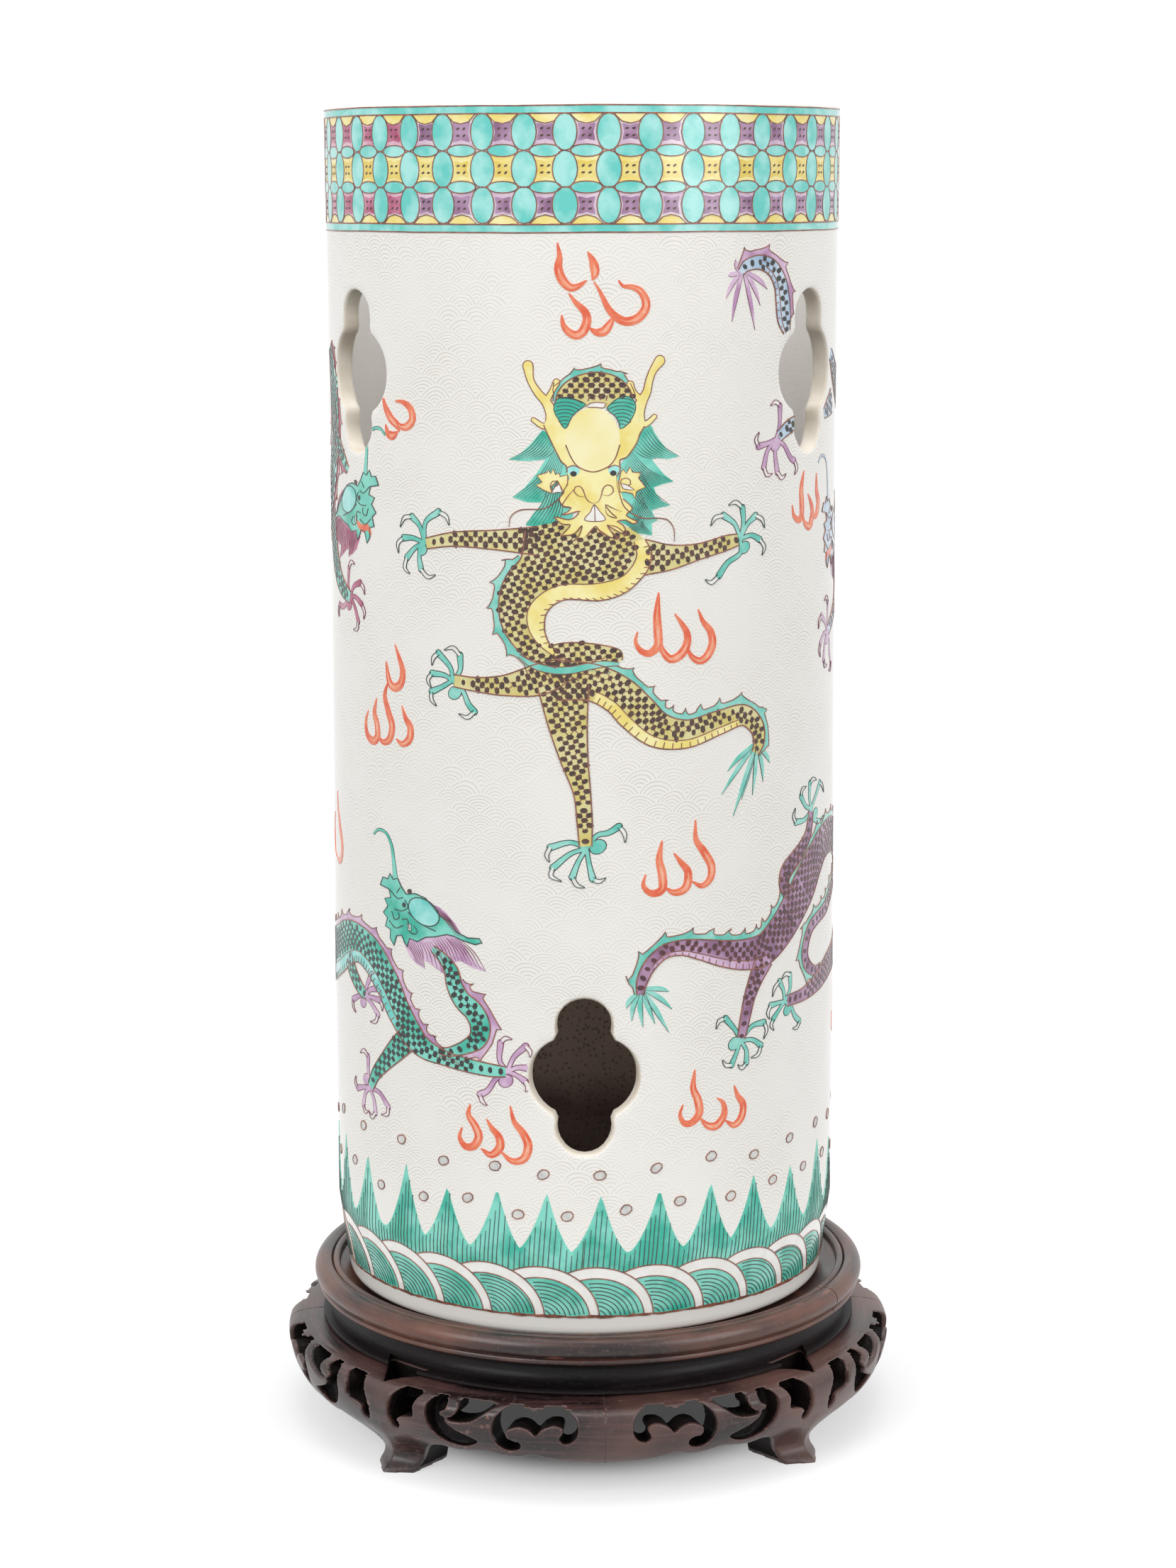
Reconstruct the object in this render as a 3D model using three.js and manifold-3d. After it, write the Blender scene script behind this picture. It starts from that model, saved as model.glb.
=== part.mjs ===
// A porcelain hat stand: a pierced tube that stands, unfixed, in the recess of a carved hardwood stand.
// Millimetres, +Z up. The origin is on the floor under the middle of the wooden stand, and the front is
// towards -Y. Azimuths are in degrees round +Z from the front, positive towards +X.
import * as THREE from "three";
import { mergeVertices } from "three/addons/utils/BufferGeometryUtils.js";
import Module from "manifold-3d";

const wasm = await Module();
wasm.setup();

// Shared values: the glue line or running gap between neighbours, and how far a cutter passes a surface.
const fitGap = 0.3;
const cutOverrun = 2;
const weldReach = 0.0001; // corners nearer than this are one corner

// Porcelain tube.
const tubeHeight = 283.5;
const tubeRadius = 60.5;
const tubeWall = 4;
const tubeSwell = 0.5; // the lower body stands proud of the lip by this
const tubeDraw = 0.3; // the middle is drawn in from the lip by this
const footInset = 2.1; // the foot is drawn in from the lip by this
const footRound = 1.8;
const lipRound = 1.9;
const footRise = 20; // from the foot up to the full radius of the body
const footSwellShare = 0.8; // how much of the swell is there at the top of the foot
const tubeSwellShare = 0.26;
const tubeDrawShare = 0.72;
const tubeSegments = 60;
const roundSteps = 2;

// The six openings of the tube: one row low, one row high, turned half a step against each other.
const openingsInRow = 3;
const lowerRowShare = 0.2226; // the middle of the low row, up the tube
const upperRowShare = 0.7852; // the middle of the high row
const sideLobeRadius = 9.4;
const sideLobeOffset = 3.3;
const endLobeRadius = 6.6;
const endLobeOffset = 11.9;
const openingCornerRound = 0.9;
const lobeSteps = 5;

// The tube's place in the recess: it stands a little to the left of the middle and to the front.
const footPlay = 3.6;
const tubeShiftX = -0.8;
const tubeShiftY = -0.8;

// The stand as a whole is turned a little against the tube.
const standTurn = 3;
const quarterTurn = 90;
const halfTurn = 180;
const fullTurn = 360;

// Apron and legs.
const apronHeight = 23.3;
const apronOverhang = 6.8; // the shoulder of the apron stands out past the rim by this
const apronWallAtTop = 7;
const apronWallAtEdge = 9.8; // from the widest radius in to the hollow, level with the floor
const flangeThickness = 1.9;
const flangeWidth = 12; // from the hollow's wall in to the inner edge of the flange and of the legs
const legSolidAngle = 8; // each side of the leg's middle, the leg is solid through to its inner face
const gougeDepth = 4.3;
const notchReach = 9.2; // the cut over each leg, from the waist out to its point
const notchHalfAngle = 6.5;
const notchDepth = 5;
const apronSegments = 10;

// Waist.
const waistHeight = 7;
const waistNeckInset = 7; // the neck of the waist lies in from the rim's outside by this
const waistWall = 6.2;
const waistFlangeThickness = 0.9;
const waistFlangeReach = 5; // the small flange at the foot of the waist stands out past the neck by this
const coveRadius = 3.5;
const coveHeightShare = 0.62; // the deepest line of the cove, up the waist
const waistSegments = 40;

// Rim.
const seatDepth = 4.1; // from the underside of the rim up to the seat of the tube
const shelfWidth = 9;
const beadWidth = 1.9;
const beadRise = 2.2;
const torusRadius = 2.7;
const torusInset = 3.5; // from the recess wall out to the middle of the big half round
const torusDrop = 0.3; // the middle of the big half round lies under the seat by this
const lowerBeadRadius = 0.8;
const lowerBeadInset = 4.5;
const rimJointAzimuth = 62;
const rimSegments = 20;

// Floor panel, held by a tongue in the rim.
const panelThickness = 3.2;
const panelDrop = 0.6;
const tongueLength = 2.2;
const tongueThickness = 1;
const tongueDrop = 1.7;
const panelSegments = 40;

// Wooden pegs and dowels.
const pegRadius = 1.3;
const pegCircleInset = 3.6; // from the recess wall in to the circle of the upright pegs
const legPegDepth = 4.6;
const waistPegDepth = 3.2;
const rimPegDepth = 2.2;
const apronDowelLength = 9;
const apronDowelInset = 4.3;
const apronDowelHeight = 16.5;
const rimDowelRadius = 1.2;
const rimDowelLength = 10;
const rimDowelInset = 3;
const rimDowelDrop = 1;
const pegSegments = 10;

// Levels and radii that follow from the sizes above.
const waistBottom = apronHeight + fitGap;
const waistTop = waistBottom + waistHeight;
const rimBottom = waistTop + fitGap;
const seatLevel = rimBottom + seatDepth;
const tubeBottom = seatLevel + fitGap;
const footRadius = tubeRadius - footInset;
const recessRadius = footRadius + footPlay;
const rimInnerRadius = recessRadius - shelfWidth;
const torusMiddleRadius = recessRadius + torusInset;
const rimOuterRadius = torusMiddleRadius + torusRadius;
const apronRadius = rimOuterRadius + apronOverhang;
const waistNeckRadius = rimOuterRadius - waistNeckInset;
const waistInnerRadius = waistNeckRadius - waistWall;
const hollowTopRadius = apronRadius - apronWallAtTop;
const hollowEdgeRadius = apronRadius - apronWallAtEdge;
const legInnerRadius = hollowTopRadius - flangeWidth;
const pegCircleRadius = recessRadius - pegCircleInset;
const pegHoleRadius = pegRadius + fitGap;

// Outlines of the carving, read off half a panel: across, in hundredths of the way from the middle of the
// panel to the middle of the leg, and up, in hundredths of the apron's height.
const carvingShare = 1 / 100;
const lowerEdgeShares = [
  [0, 36.9], [10, 37.9], [22.2, 42.1], [30, 46.8], [35, 42.4], [40, 41], [46, 44.4], [50.7, 46.8],
  [56, 43.4], [63, 42.1], [69.6, 44.2], [75.5, 40.8], [81.8, 30], [86.8, 18.5], [89.2, 8], [89.1, 0],
];
const doubleScrollShares = [
  [10.7, 79.8], [11.6, 88], [15, 95], [21.3, 96.6], [29.3, 94], [36.4, 97.4], [40.5, 94.5],
  [43.8, 87], [45.8, 76], [45.5, 62.5], [43.3, 53.6], [40, 50.2], [36.4, 51.9], [34.7, 58.5],
  [36.9, 63.9], [38.7, 62.2], [40.6, 68], [38.9, 76.4], [34.5, 78.4], [29.6, 74.7], [27.8, 71.7],
  [25.8, 76], [22.5, 81.5], [18, 81.5], [16.2, 77], [17.3, 68.5], [14.9, 62.7], [12.2, 65.2],
];
const ribbonGapShares = [
  [44.2, 97.4], [49, 92.6], [53.8, 85], [58.7, 79.8], [63.3, 79], [65.6, 81.3], [62.7, 84.1],
  [61.2, 90.5], [62.6, 95.6], [65.3, 97.4],
];
const crescentShares = [
  [75.1, 97.4], [85.5, 97], [89.6, 93.2], [92.2, 81.5], [93.1, 70.8], [92, 57.5], [88.2, 52.4],
  [87.6, 58], [88.2, 63.5], [85.8, 69.3], [81.3, 72.5], [80.8, 85.5], [78.5, 94],
];
const curlGougeShares = [
  [68, 95.2], [72.3, 92.5], [74.2, 80], [73, 65], [69, 54.3], [61.8, 50.2], [55.6, 53.6],
  [52.2, 60.1], [60, 65.5], [65.1, 71.2], [67.8, 80.5], [65.8, 89],
];
// The face of the apron and leg from the toe up to the flange: radius as a share of the widest one, and
// height as a share of the apron's.
const faceShares = [
  [0.906, 0], [0.901, 0.04], [0.885, 0.095], [0.882, 0.16], [0.9, 0.25], [0.928, 0.345],
  [0.96, 0.45], [0.985, 0.6], [0.998, 0.76], [0.999, 0.86], [0.989, 0.92], [0.965, 0.965],
  [0.933, 0.988], [0.9, 1],
];
const faceSteps = 8;

// A closed geometry as a solid that can be cut and joined. A bend may have turned its faces inwards, and
// then they are turned back.
function solidOf(geometry) {
  const bare = geometry.clone();
  bare.deleteAttribute("normal");
  bare.deleteAttribute("uv");
  const merged = mergeVertices(bare, weldReach);
  const vertProperties = new Float32Array(merged.attributes.position.array);
  const triVerts = new Uint32Array(merged.index.array);
  const solid = new wasm.Manifold(new wasm.Mesh({ numProp: 3, vertProperties, triVerts }));
  if (solid.volume() > 0) return solid;
  triVerts.reverse();
  return new wasm.Manifold(new wasm.Mesh({ numProp: 3, vertProperties, triVerts }));
}

function geometryOf(solid) {
  const mesh = solid.getMesh();
  const geometry = new THREE.BufferGeometry();
  geometry.setAttribute("position", new THREE.BufferAttribute(mesh.vertProperties, 3));
  geometry.setIndex(new THREE.BufferAttribute(mesh.triVerts, 1));
  geometry.computeVertexNormals();
  return geometry;
}

// A point at a radius and azimuth.
function around(radius, azimuth, height) {
  const angle = THREE.MathUtils.degToRad(azimuth);
  return new THREE.Vector3(radius * Math.sin(angle), -radius * Math.cos(angle), height);
}

// Points of an arc in the section plane, angles in degrees.
function arc(centre, radius, from, to, steps) {
  return Array.from({ length: steps + 1 }, (_, i) => {
    const angle = THREE.MathUtils.degToRad(from + ((to - from) * i) / steps);
    return new THREE.Vector2(centre.x + radius * Math.cos(angle), centre.y + radius * Math.sin(angle));
  });
}

function shapeOf(points) {
  const shape = new THREE.Shape();
  shape.setFromPoints(points);
  return shape;
}

// Moves each corner of a geometry to its place, and makes the result a solid.
function bend(geometry, place) {
  const position = geometry.attributes.position;
  const spot = new THREE.Vector3();
  for (let i = 0; i < position.count; i++) {
    spot.fromBufferAttribute(position, i);
    const moved = place(spot);
    position.setXYZ(i, moved.x, moved.y, moved.z);
  }
  return solidOf(geometry);
}

// A ring turned right round, from a closed section in radius and height.
function turnedRing(section, segments) {
  const closed = [...section, section[0].clone()];
  const lathe = new THREE.LatheGeometry(closed, segments);
  lathe.rotateX(Math.PI / 2);
  return solidOf(lathe);
}

// The stretch of such a ring between two azimuths, with flat ends.
function ringStretch(section, from, to, segments) {
  const geometry = new THREE.ExtrudeGeometry(shapeOf(section), {
    depth: 1,
    steps: segments,
    bevelEnabled: false,
  });
  return bend(geometry, (p) => around(p.x, from + (to - from) * p.z, p.y));
}

// An outline in azimuth and height, pushed through the wall from one radius to another. Its outer side is
// made of flat facets, so it starts far enough out for the widest of them to clear the outer radius.
function throughWall(outline, innerRadius, outerRadius) {
  const azimuths = outline.map((p) => p.x);
  const spread = THREE.MathUtils.degToRad(Math.max(...azimuths) - Math.min(...azimuths));
  const farRadius = outerRadius / Math.cos(spread / 2);
  const geometry = new THREE.ExtrudeGeometry(shapeOf(outline), {
    depth: 1,
    steps: 1,
    bevelEnabled: false,
  });
  return bend(geometry, (p) => around(innerRadius + (farRadius - innerRadius) * p.z, p.x, p.y));
}

// An upright peg, or a dowel that lies along the rim, at a radius and azimuth.
function uprightPin(radius, bottom, top, circleRadius, azimuth) {
  const pin = new THREE.CylinderGeometry(radius, radius, top - bottom, pegSegments);
  pin.rotateX(Math.PI / 2);
  const spot = around(circleRadius, azimuth, (top + bottom) / 2);
  pin.translate(spot.x, spot.y, spot.z);
  return solidOf(pin);
}

function lyingPin(radius, length, circleRadius, azimuth, height) {
  const pin = new THREE.CylinderGeometry(radius, radius, length, pegSegments);
  pin.rotateZ(Math.PI / 2);
  pin.rotateZ(THREE.MathUtils.degToRad(azimuth));
  const spot = around(circleRadius, azimuth, height);
  pin.translate(spot.x, spot.y, spot.z);
  return solidOf(pin);
}

// The outline of one opening in the tube: four lobes, the side ones wide, the end ones narrow.
function openingOutline() {
  const gap = Math.hypot(sideLobeOffset, endLobeOffset);
  const along = (endLobeRadius ** 2 - sideLobeRadius ** 2 + gap ** 2) / (2 * gap);
  const off = Math.sqrt(endLobeRadius ** 2 - along ** 2);
  const towards = new THREE.Vector2(sideLobeOffset, -endLobeOffset).divideScalar(gap);
  const notch = new THREE.Vector2(0, endLobeOffset)
    .addScaledVector(towards, along)
    .addScaledVector(new THREE.Vector2(-towards.y, towards.x), off);
  const sideTurn = THREE.MathUtils.radToDeg(Math.atan2(notch.y, notch.x - sideLobeOffset));
  const endTurn = THREE.MathUtils.radToDeg(Math.atan2(notch.y - endLobeOffset, notch.x));
  const sideTrim = THREE.MathUtils.radToDeg(openingCornerRound / sideLobeRadius);
  const endTrim = THREE.MathUtils.radToDeg(openingCornerRound / endLobeRadius);
  const side = new THREE.Vector2(sideLobeOffset, 0);
  const end = new THREE.Vector2(0, endLobeOffset);
  const right = arc(side, sideLobeRadius, sideTrim - sideTurn, sideTurn - sideTrim, lobeSteps);
  const top = arc(end, endLobeRadius, endTurn + endTrim, halfTurn - endTurn - endTrim, lobeSteps);
  const turned = (points) => points.map((p) => new THREE.Vector2(-p.x, -p.y));
  return [...right, ...top, ...turned(right), ...turned(top)];
}

// Piece: the porcelain tube, open at both ends.
function porcelainTube() {
  const outside = [
    ...arc(new THREE.Vector2(footRadius - footRound, footRound), footRound, -90, 0, roundSteps),
    new THREE.Vector2(tubeRadius + tubeSwell * footSwellShare, footRise),
    new THREE.Vector2(tubeRadius + tubeSwell, tubeHeight * tubeSwellShare),
    new THREE.Vector2(tubeRadius - tubeDraw, tubeHeight * tubeDrawShare),
    ...arc(new THREE.Vector2(tubeRadius - lipRound, tubeHeight - lipRound), lipRound, 0, 90, roundSteps),
  ];
  const innerLip = tubeRadius - tubeWall;
  const innerFoot = footRadius - tubeWall;
  const inside = [
    ...arc(new THREE.Vector2(innerLip + lipRound, tubeHeight - lipRound), lipRound, 90, 180, roundSteps),
    new THREE.Vector2(innerLip - tubeDraw, tubeHeight * tubeDrawShare),
    new THREE.Vector2(innerLip + tubeSwell, tubeHeight * tubeSwellShare),
    new THREE.Vector2(innerLip + tubeSwell * footSwellShare, footRise),
    ...arc(new THREE.Vector2(innerFoot + footRound, footRound), footRound, 180, 270, roundSteps),
  ];
  let tube = turnedRing([...outside, ...inside], tubeSegments);
  const outline = shapeOf(openingOutline());
  const reach = tubeRadius + tubeSwell + cutOverrun;
  const step = fullTurn / openingsInRow;
  for (let i = 0; i < 2 * openingsInRow; i++) {
    const lower = i % 2 === 0;
    const cutter = new THREE.ExtrudeGeometry(outline, { depth: reach, bevelEnabled: false });
    cutter.rotateX(Math.PI / 2);
    cutter.translate(0, 0, tubeHeight * (lower ? lowerRowShare : upperRowShare));
    cutter.rotateZ(THREE.MathUtils.degToRad((i * step) / 2));
    tube = tube.subtract(solidOf(cutter));
  }
  return tube.translate([tubeShiftX, tubeShiftY, tubeBottom]);
}

// The section of the rim, from its inner edge round the mouldings and back along the recess.
function rimSection() {
  const beadMiddle = new THREE.Vector2(recessRadius + beadWidth / 2, seatLevel + beadRise - beadWidth / 2);
  const torusMiddle = new THREE.Vector2(torusMiddleRadius, seatLevel - torusDrop);
  const lowerBead = new THREE.Vector2(recessRadius + lowerBeadInset, rimBottom + lowerBeadRadius);
  const grooveRadius = rimInnerRadius + tongueLength + fitGap;
  const grooveTop = seatLevel - tongueDrop + fitGap;
  const grooveBottom = seatLevel - tongueDrop - tongueThickness - fitGap;
  return [
    new THREE.Vector2(rimInnerRadius, rimBottom),
    ...arc(lowerBead, lowerBeadRadius, -90, 60, 2),
    ...arc(torusMiddle, torusRadius, -52, 120, 6),
    ...arc(beadMiddle, beadWidth / 2, -10, 180, 4),
    new THREE.Vector2(recessRadius, seatLevel),
    new THREE.Vector2(rimInnerRadius, seatLevel),
    new THREE.Vector2(rimInnerRadius, grooveTop),
    new THREE.Vector2(grooveRadius, grooveTop),
    new THREE.Vector2(grooveRadius, grooveBottom),
    new THREE.Vector2(rimInnerRadius, grooveBottom),
  ];
}

// Half the fit gap at a radius, as an angle.
function gapAngle(radius) {
  return THREE.MathUtils.radToDeg(fitGap / 2 / radius);
}

function rimPegAzimuths(jointAzimuth) {
  return [jointAzimuth + quarterTurn / 2, jointAzimuth + halfTurn - quarterTurn / 2];
}

// Piece: half of the rim, from one joint to the other, with holes for its pegs and joint dowels.
function rimHalf(jointAzimuth) {
  const slack = gapAngle(recessRadius);
  let half = ringStretch(
    rimSection(),
    jointAzimuth + slack,
    jointAzimuth + halfTurn - slack,
    rimSegments,
  );
  for (const azimuth of rimPegAzimuths(jointAzimuth)) {
    half = half.subtract(
      uprightPin(pegHoleRadius, rimBottom - cutOverrun, rimBottom + rimPegDepth + fitGap, pegCircleRadius, azimuth),
    );
  }
  for (const azimuth of [jointAzimuth, jointAzimuth + halfTurn]) {
    half = half.subtract(
      lyingPin(
        rimDowelRadius + fitGap,
        rimDowelLength + 2 * fitGap,
        recessRadius + rimDowelInset,
        azimuth,
        seatLevel - rimDowelDrop,
      ),
    );
  }
  return half;
}

// Piece: the round floor of the recess, with a tongue round its edge.
function floorPanel() {
  const fieldRadius = rimInnerRadius - fitGap;
  const tongueRadius = rimInnerRadius + tongueLength;
  const top = seatLevel - panelDrop;
  const bottom = top - panelThickness;
  const tongueTop = seatLevel - tongueDrop;
  const tongueBottom = tongueTop - tongueThickness;
  const half = [
    new THREE.Vector2(0, bottom),
    new THREE.Vector2(fieldRadius, bottom),
    new THREE.Vector2(fieldRadius, tongueBottom),
    new THREE.Vector2(tongueRadius, tongueBottom),
    new THREE.Vector2(tongueRadius, tongueTop),
    new THREE.Vector2(fieldRadius, tongueTop),
    new THREE.Vector2(fieldRadius, top),
    new THREE.Vector2(0, top),
  ];
  const lathe = new THREE.LatheGeometry(half, panelSegments);
  lathe.rotateX(Math.PI / 2);
  return solidOf(lathe);
}

// The middles of the four legs, and of the four panels between them.
const legAzimuths = [-1, 1, 3, 5].map((step) => standTurn + (step * quarterTurn) / 2);
const panelAzimuths = [0, 1, 2, 3].map((step) => standTurn + step * quarterTurn);
const rimHalfAzimuths = [rimJointAzimuth - halfTurn, rimJointAzimuth];

// The wedge that is cut down into the waist's flange and the shoulder over each leg.
function notchCutter(azimuth) {
  const innerRadius = waistNeckRadius + waistFlangeThickness;
  const pointRadius = innerRadius + notchReach;
  const corners = [
    around(innerRadius, azimuth - notchHalfAngle, 0),
    around(pointRadius, azimuth, 0),
    around(innerRadius, azimuth + notchHalfAngle, 0),
  ];
  const plan = new THREE.Shape(corners.map((p) => new THREE.Vector2(p.x, p.y)));
  const bottom = apronHeight - notchDepth;
  const top = waistBottom + waistFlangeThickness + fitGap;
  const wedge = new THREE.ExtrudeGeometry(plan, { depth: top - bottom, bevelEnabled: false });
  wedge.translate(0, 0, bottom);
  return solidOf(wedge);
}

// Piece: the ring that makes the dark hollow waist between the rim and the apron.
function waistRing() {
  const coveMiddle = new THREE.Vector2(
    waistNeckRadius + coveRadius,
    waistBottom + waistHeight * coveHeightShare,
  );
  const flangeRadius = waistNeckRadius + waistFlangeReach;
  const flangeTop = waistBottom + waistFlangeThickness;
  const upTurn = THREE.MathUtils.radToDeg(Math.asin((waistTop - coveMiddle.y) / coveRadius));
  const downTurn = THREE.MathUtils.radToDeg(Math.asin((coveMiddle.y - flangeTop) / coveRadius));
  const section = [
    new THREE.Vector2(waistInnerRadius, waistBottom),
    new THREE.Vector2(flangeRadius, waistBottom),
    new THREE.Vector2(flangeRadius, flangeTop),
    ...arc(coveMiddle, coveRadius, halfTurn + downTurn, halfTurn - upTurn, 5),
    new THREE.Vector2(waistInnerRadius, waistTop),
  ];
  let ring = turnedRing(section, waistSegments);
  for (const azimuth of legAzimuths) {
    ring = ring.subtract(notchCutter(azimuth));
    ring = ring.subtract(
      uprightPin(
        pegHoleRadius,
        waistBottom - cutOverrun,
        waistBottom + waistPegDepth + fitGap,
        pegCircleRadius,
        azimuth,
      ),
    );
  }
  for (const azimuth of rimHalfAzimuths.flatMap(rimPegAzimuths)) {
    ring = ring.subtract(
      uprightPin(
        pegHoleRadius,
        waistTop - waistPegDepth - fitGap,
        waistTop + cutOverrun,
        pegCircleRadius,
        azimuth,
      ),
    );
  }
  return ring;
}

// Half of a carving outline, laid out from the middle of a panel towards a leg on its left or right.
function carved(shares, panelAzimuth, side) {
  const across = ((side * quarterTurn) / 2) * carvingShare;
  const up = apronHeight * carvingShare;
  return shares.map(([a, h]) => new THREE.Vector2(panelAzimuth + across * a, up * h));
}

// The section of the apron and leg, solid from the face in to the legs' inner radius.
function blankSection() {
  const knots = faceShares.map(([r, h]) => new THREE.Vector2(apronRadius * r, apronHeight * h));
  const face = new THREE.SplineCurve(knots).getPoints(faceSteps);
  face[0].y = 0;
  return [
    new THREE.Vector2(legInnerRadius, 0),
    ...face,
    new THREE.Vector2(legInnerRadius, apronHeight),
  ];
}

// Piece: one leg with the half panels that spring from it, cut from one block. This is the carved and
// pierced piece: the scrolls run through the curved wall, the curl is gouged, and the edge is scalloped.
function apronLeg(legAzimuth) {
  const slack = gapAngle(apronRadius);
  const from = legAzimuth - quarterTurn / 2 + slack;
  const to = legAzimuth + quarterTurn / 2 - slack;
  let leg = ringStretch(blankSection(), from, to, apronSegments);

  // The hollow behind the panels, on both sides of the solid leg.
  const hollowTop = apronHeight - flangeThickness;
  const hollow = [
    new THREE.Vector2(legInnerRadius - cutOverrun, -cutOverrun),
    new THREE.Vector2(hollowEdgeRadius, -cutOverrun),
    new THREE.Vector2(hollowTopRadius, hollowTop),
    new THREE.Vector2(legInnerRadius - cutOverrun, hollowTop),
  ];
  const stretches = [
    [legAzimuth - quarterTurn / 2 - cutOverrun, legAzimuth - legSolidAngle],
    [legAzimuth + legSolidAngle, legAzimuth + quarterTurn / 2 + cutOverrun],
  ];
  for (const [start, stop] of stretches) {
    leg = leg.subtract(ringStretch(hollow, start, stop, apronSegments / 2));
  }

  // The scalloped lower edge and the sides of the leg, from the panel on one side to the other.
  const before = legAzimuth - quarterTurn / 2;
  const after = legAzimuth + quarterTurn / 2;
  const leftEdge = carved(lowerEdgeShares, before, 1);
  const rightEdge = carved(lowerEdgeShares, after, -1).reverse();
  const top = apronHeight + cutOverrun;
  const outline = [
    new THREE.Vector2(before, top),
    ...leftEdge,
    ...rightEdge,
    new THREE.Vector2(after, top),
  ];
  const outerReach = apronRadius + cutOverrun;
  const innerReach = legInnerRadius - cutOverrun;
  leg = leg.intersect(throughWall(outline, innerReach, outerReach));

  // The piercing and the gouge, mirrored on the two sides of the leg.
  const scrollReach = hollowEdgeRadius - cutOverrun;
  const flangeReach = hollowTopRadius - fitGap;
  for (const [panelAzimuth, side] of [[before, 1], [after, -1]]) {
    const doubleScroll = carved(doubleScrollShares, panelAzimuth, side);
    const ribbonGap = carved(ribbonGapShares, panelAzimuth, side);
    const crescent = carved(crescentShares, panelAzimuth, side);
    const gouge = carved(curlGougeShares, panelAzimuth, side);
    leg = leg.subtract(throughWall(doubleScroll, scrollReach, outerReach));
    leg = leg.subtract(throughWall(ribbonGap, flangeReach, outerReach));
    leg = leg.subtract(throughWall(crescent, innerReach, outerReach));
    leg = leg.subtract(throughWall(gouge, apronRadius - gougeDepth, outerReach));
    leg = leg.subtract(
      lyingPin(
        pegHoleRadius,
        apronDowelLength + 2 * fitGap,
        apronRadius - apronDowelInset,
        panelAzimuth,
        apronDowelHeight,
      ),
    );
  }
  leg = leg.subtract(notchCutter(legAzimuth));
  leg = leg.subtract(
    uprightPin(
      pegHoleRadius,
      apronHeight - legPegDepth - fitGap,
      apronHeight + cutOverrun,
      pegCircleRadius,
      legAzimuth,
    ),
  );
  return leg;
}

// Finishes.
const glaze = new THREE.MeshStandardMaterial({ color: 0xefece4, roughness: 0.15, metalness: 0 });
const darkWood = new THREE.MeshStandardMaterial({ color: 0x3a2426, roughness: 0.4, metalness: 0 });
const panelWood = new THREE.MeshStandardMaterial({ color: 0x2c1d1b, roughness: 0.6, metalness: 0 });
const pegWood = new THREE.MeshStandardMaterial({ color: 0x7a5a3c, roughness: 0.7, metalness: 0 });

const hatStand = new THREE.Group();

function addPiece(name, solid, material) {
  const mesh = new THREE.Mesh(geometryOf(solid), material);
  mesh.name = name;
  hatStand.add(mesh);
}

addPiece("porcelain_tube", porcelainTube(), glaze);
addPiece("rim_half_front", rimHalf(rimHalfAzimuths[0]), darkWood);
addPiece("rim_half_back", rimHalf(rimHalfAzimuths[1]), darkWood);
addPiece("floor_panel", floorPanel(), panelWood);
addPiece("waist_ring", waistRing(), darkWood);

const corners = ["front_left", "front_right", "back_right", "back_left"];
legAzimuths.forEach((azimuth, i) => {
  addPiece("apron_leg_" + corners[i], apronLeg(azimuth), darkWood);
  const peg = uprightPin(
    pegRadius,
    apronHeight - legPegDepth,
    waistBottom + waistPegDepth,
    pegCircleRadius,
    azimuth,
  );
  addPiece("leg_peg_" + corners[i], peg, pegWood);
});

const sides = ["front", "right", "back", "left"];
panelAzimuths.forEach((azimuth, i) => {
  const dowel = lyingPin(
    pegRadius,
    apronDowelLength,
    apronRadius - apronDowelInset,
    azimuth,
    apronDowelHeight,
  );
  addPiece("apron_dowel_" + sides[i], dowel, pegWood);
});

const halves = ["front", "back"];
rimHalfAzimuths.forEach((jointAzimuth, i) => {
  rimPegAzimuths(jointAzimuth).forEach((azimuth, j) => {
    const peg = uprightPin(
      pegRadius,
      waistTop - waistPegDepth,
      rimBottom + rimPegDepth,
      pegCircleRadius,
      azimuth,
    );
    addPiece("rim_peg_" + halves[i] + "_" + (j + 1), peg, pegWood);
  });
  const dowel = lyingPin(
    rimDowelRadius,
    rimDowelLength,
    recessRadius + rimDowelInset,
    jointAzimuth,
    seatLevel - rimDowelDrop,
  );
  addPiece("rim_dowel_" + ["left", "right"][i], dowel, pegWood);
});

export default hatStand;
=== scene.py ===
# %% [markdown]
# # A porcelain hat stand on a carved hardwood stand
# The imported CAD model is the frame: it says where every piece is. This script dresses it, in metres, in the
# same place. The tube is slip-white porcelain painted with overglaze enamels, and the stand is dark
# hardwood, turned and carved by hand.

# %% Load the frame
import math
import random

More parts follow.
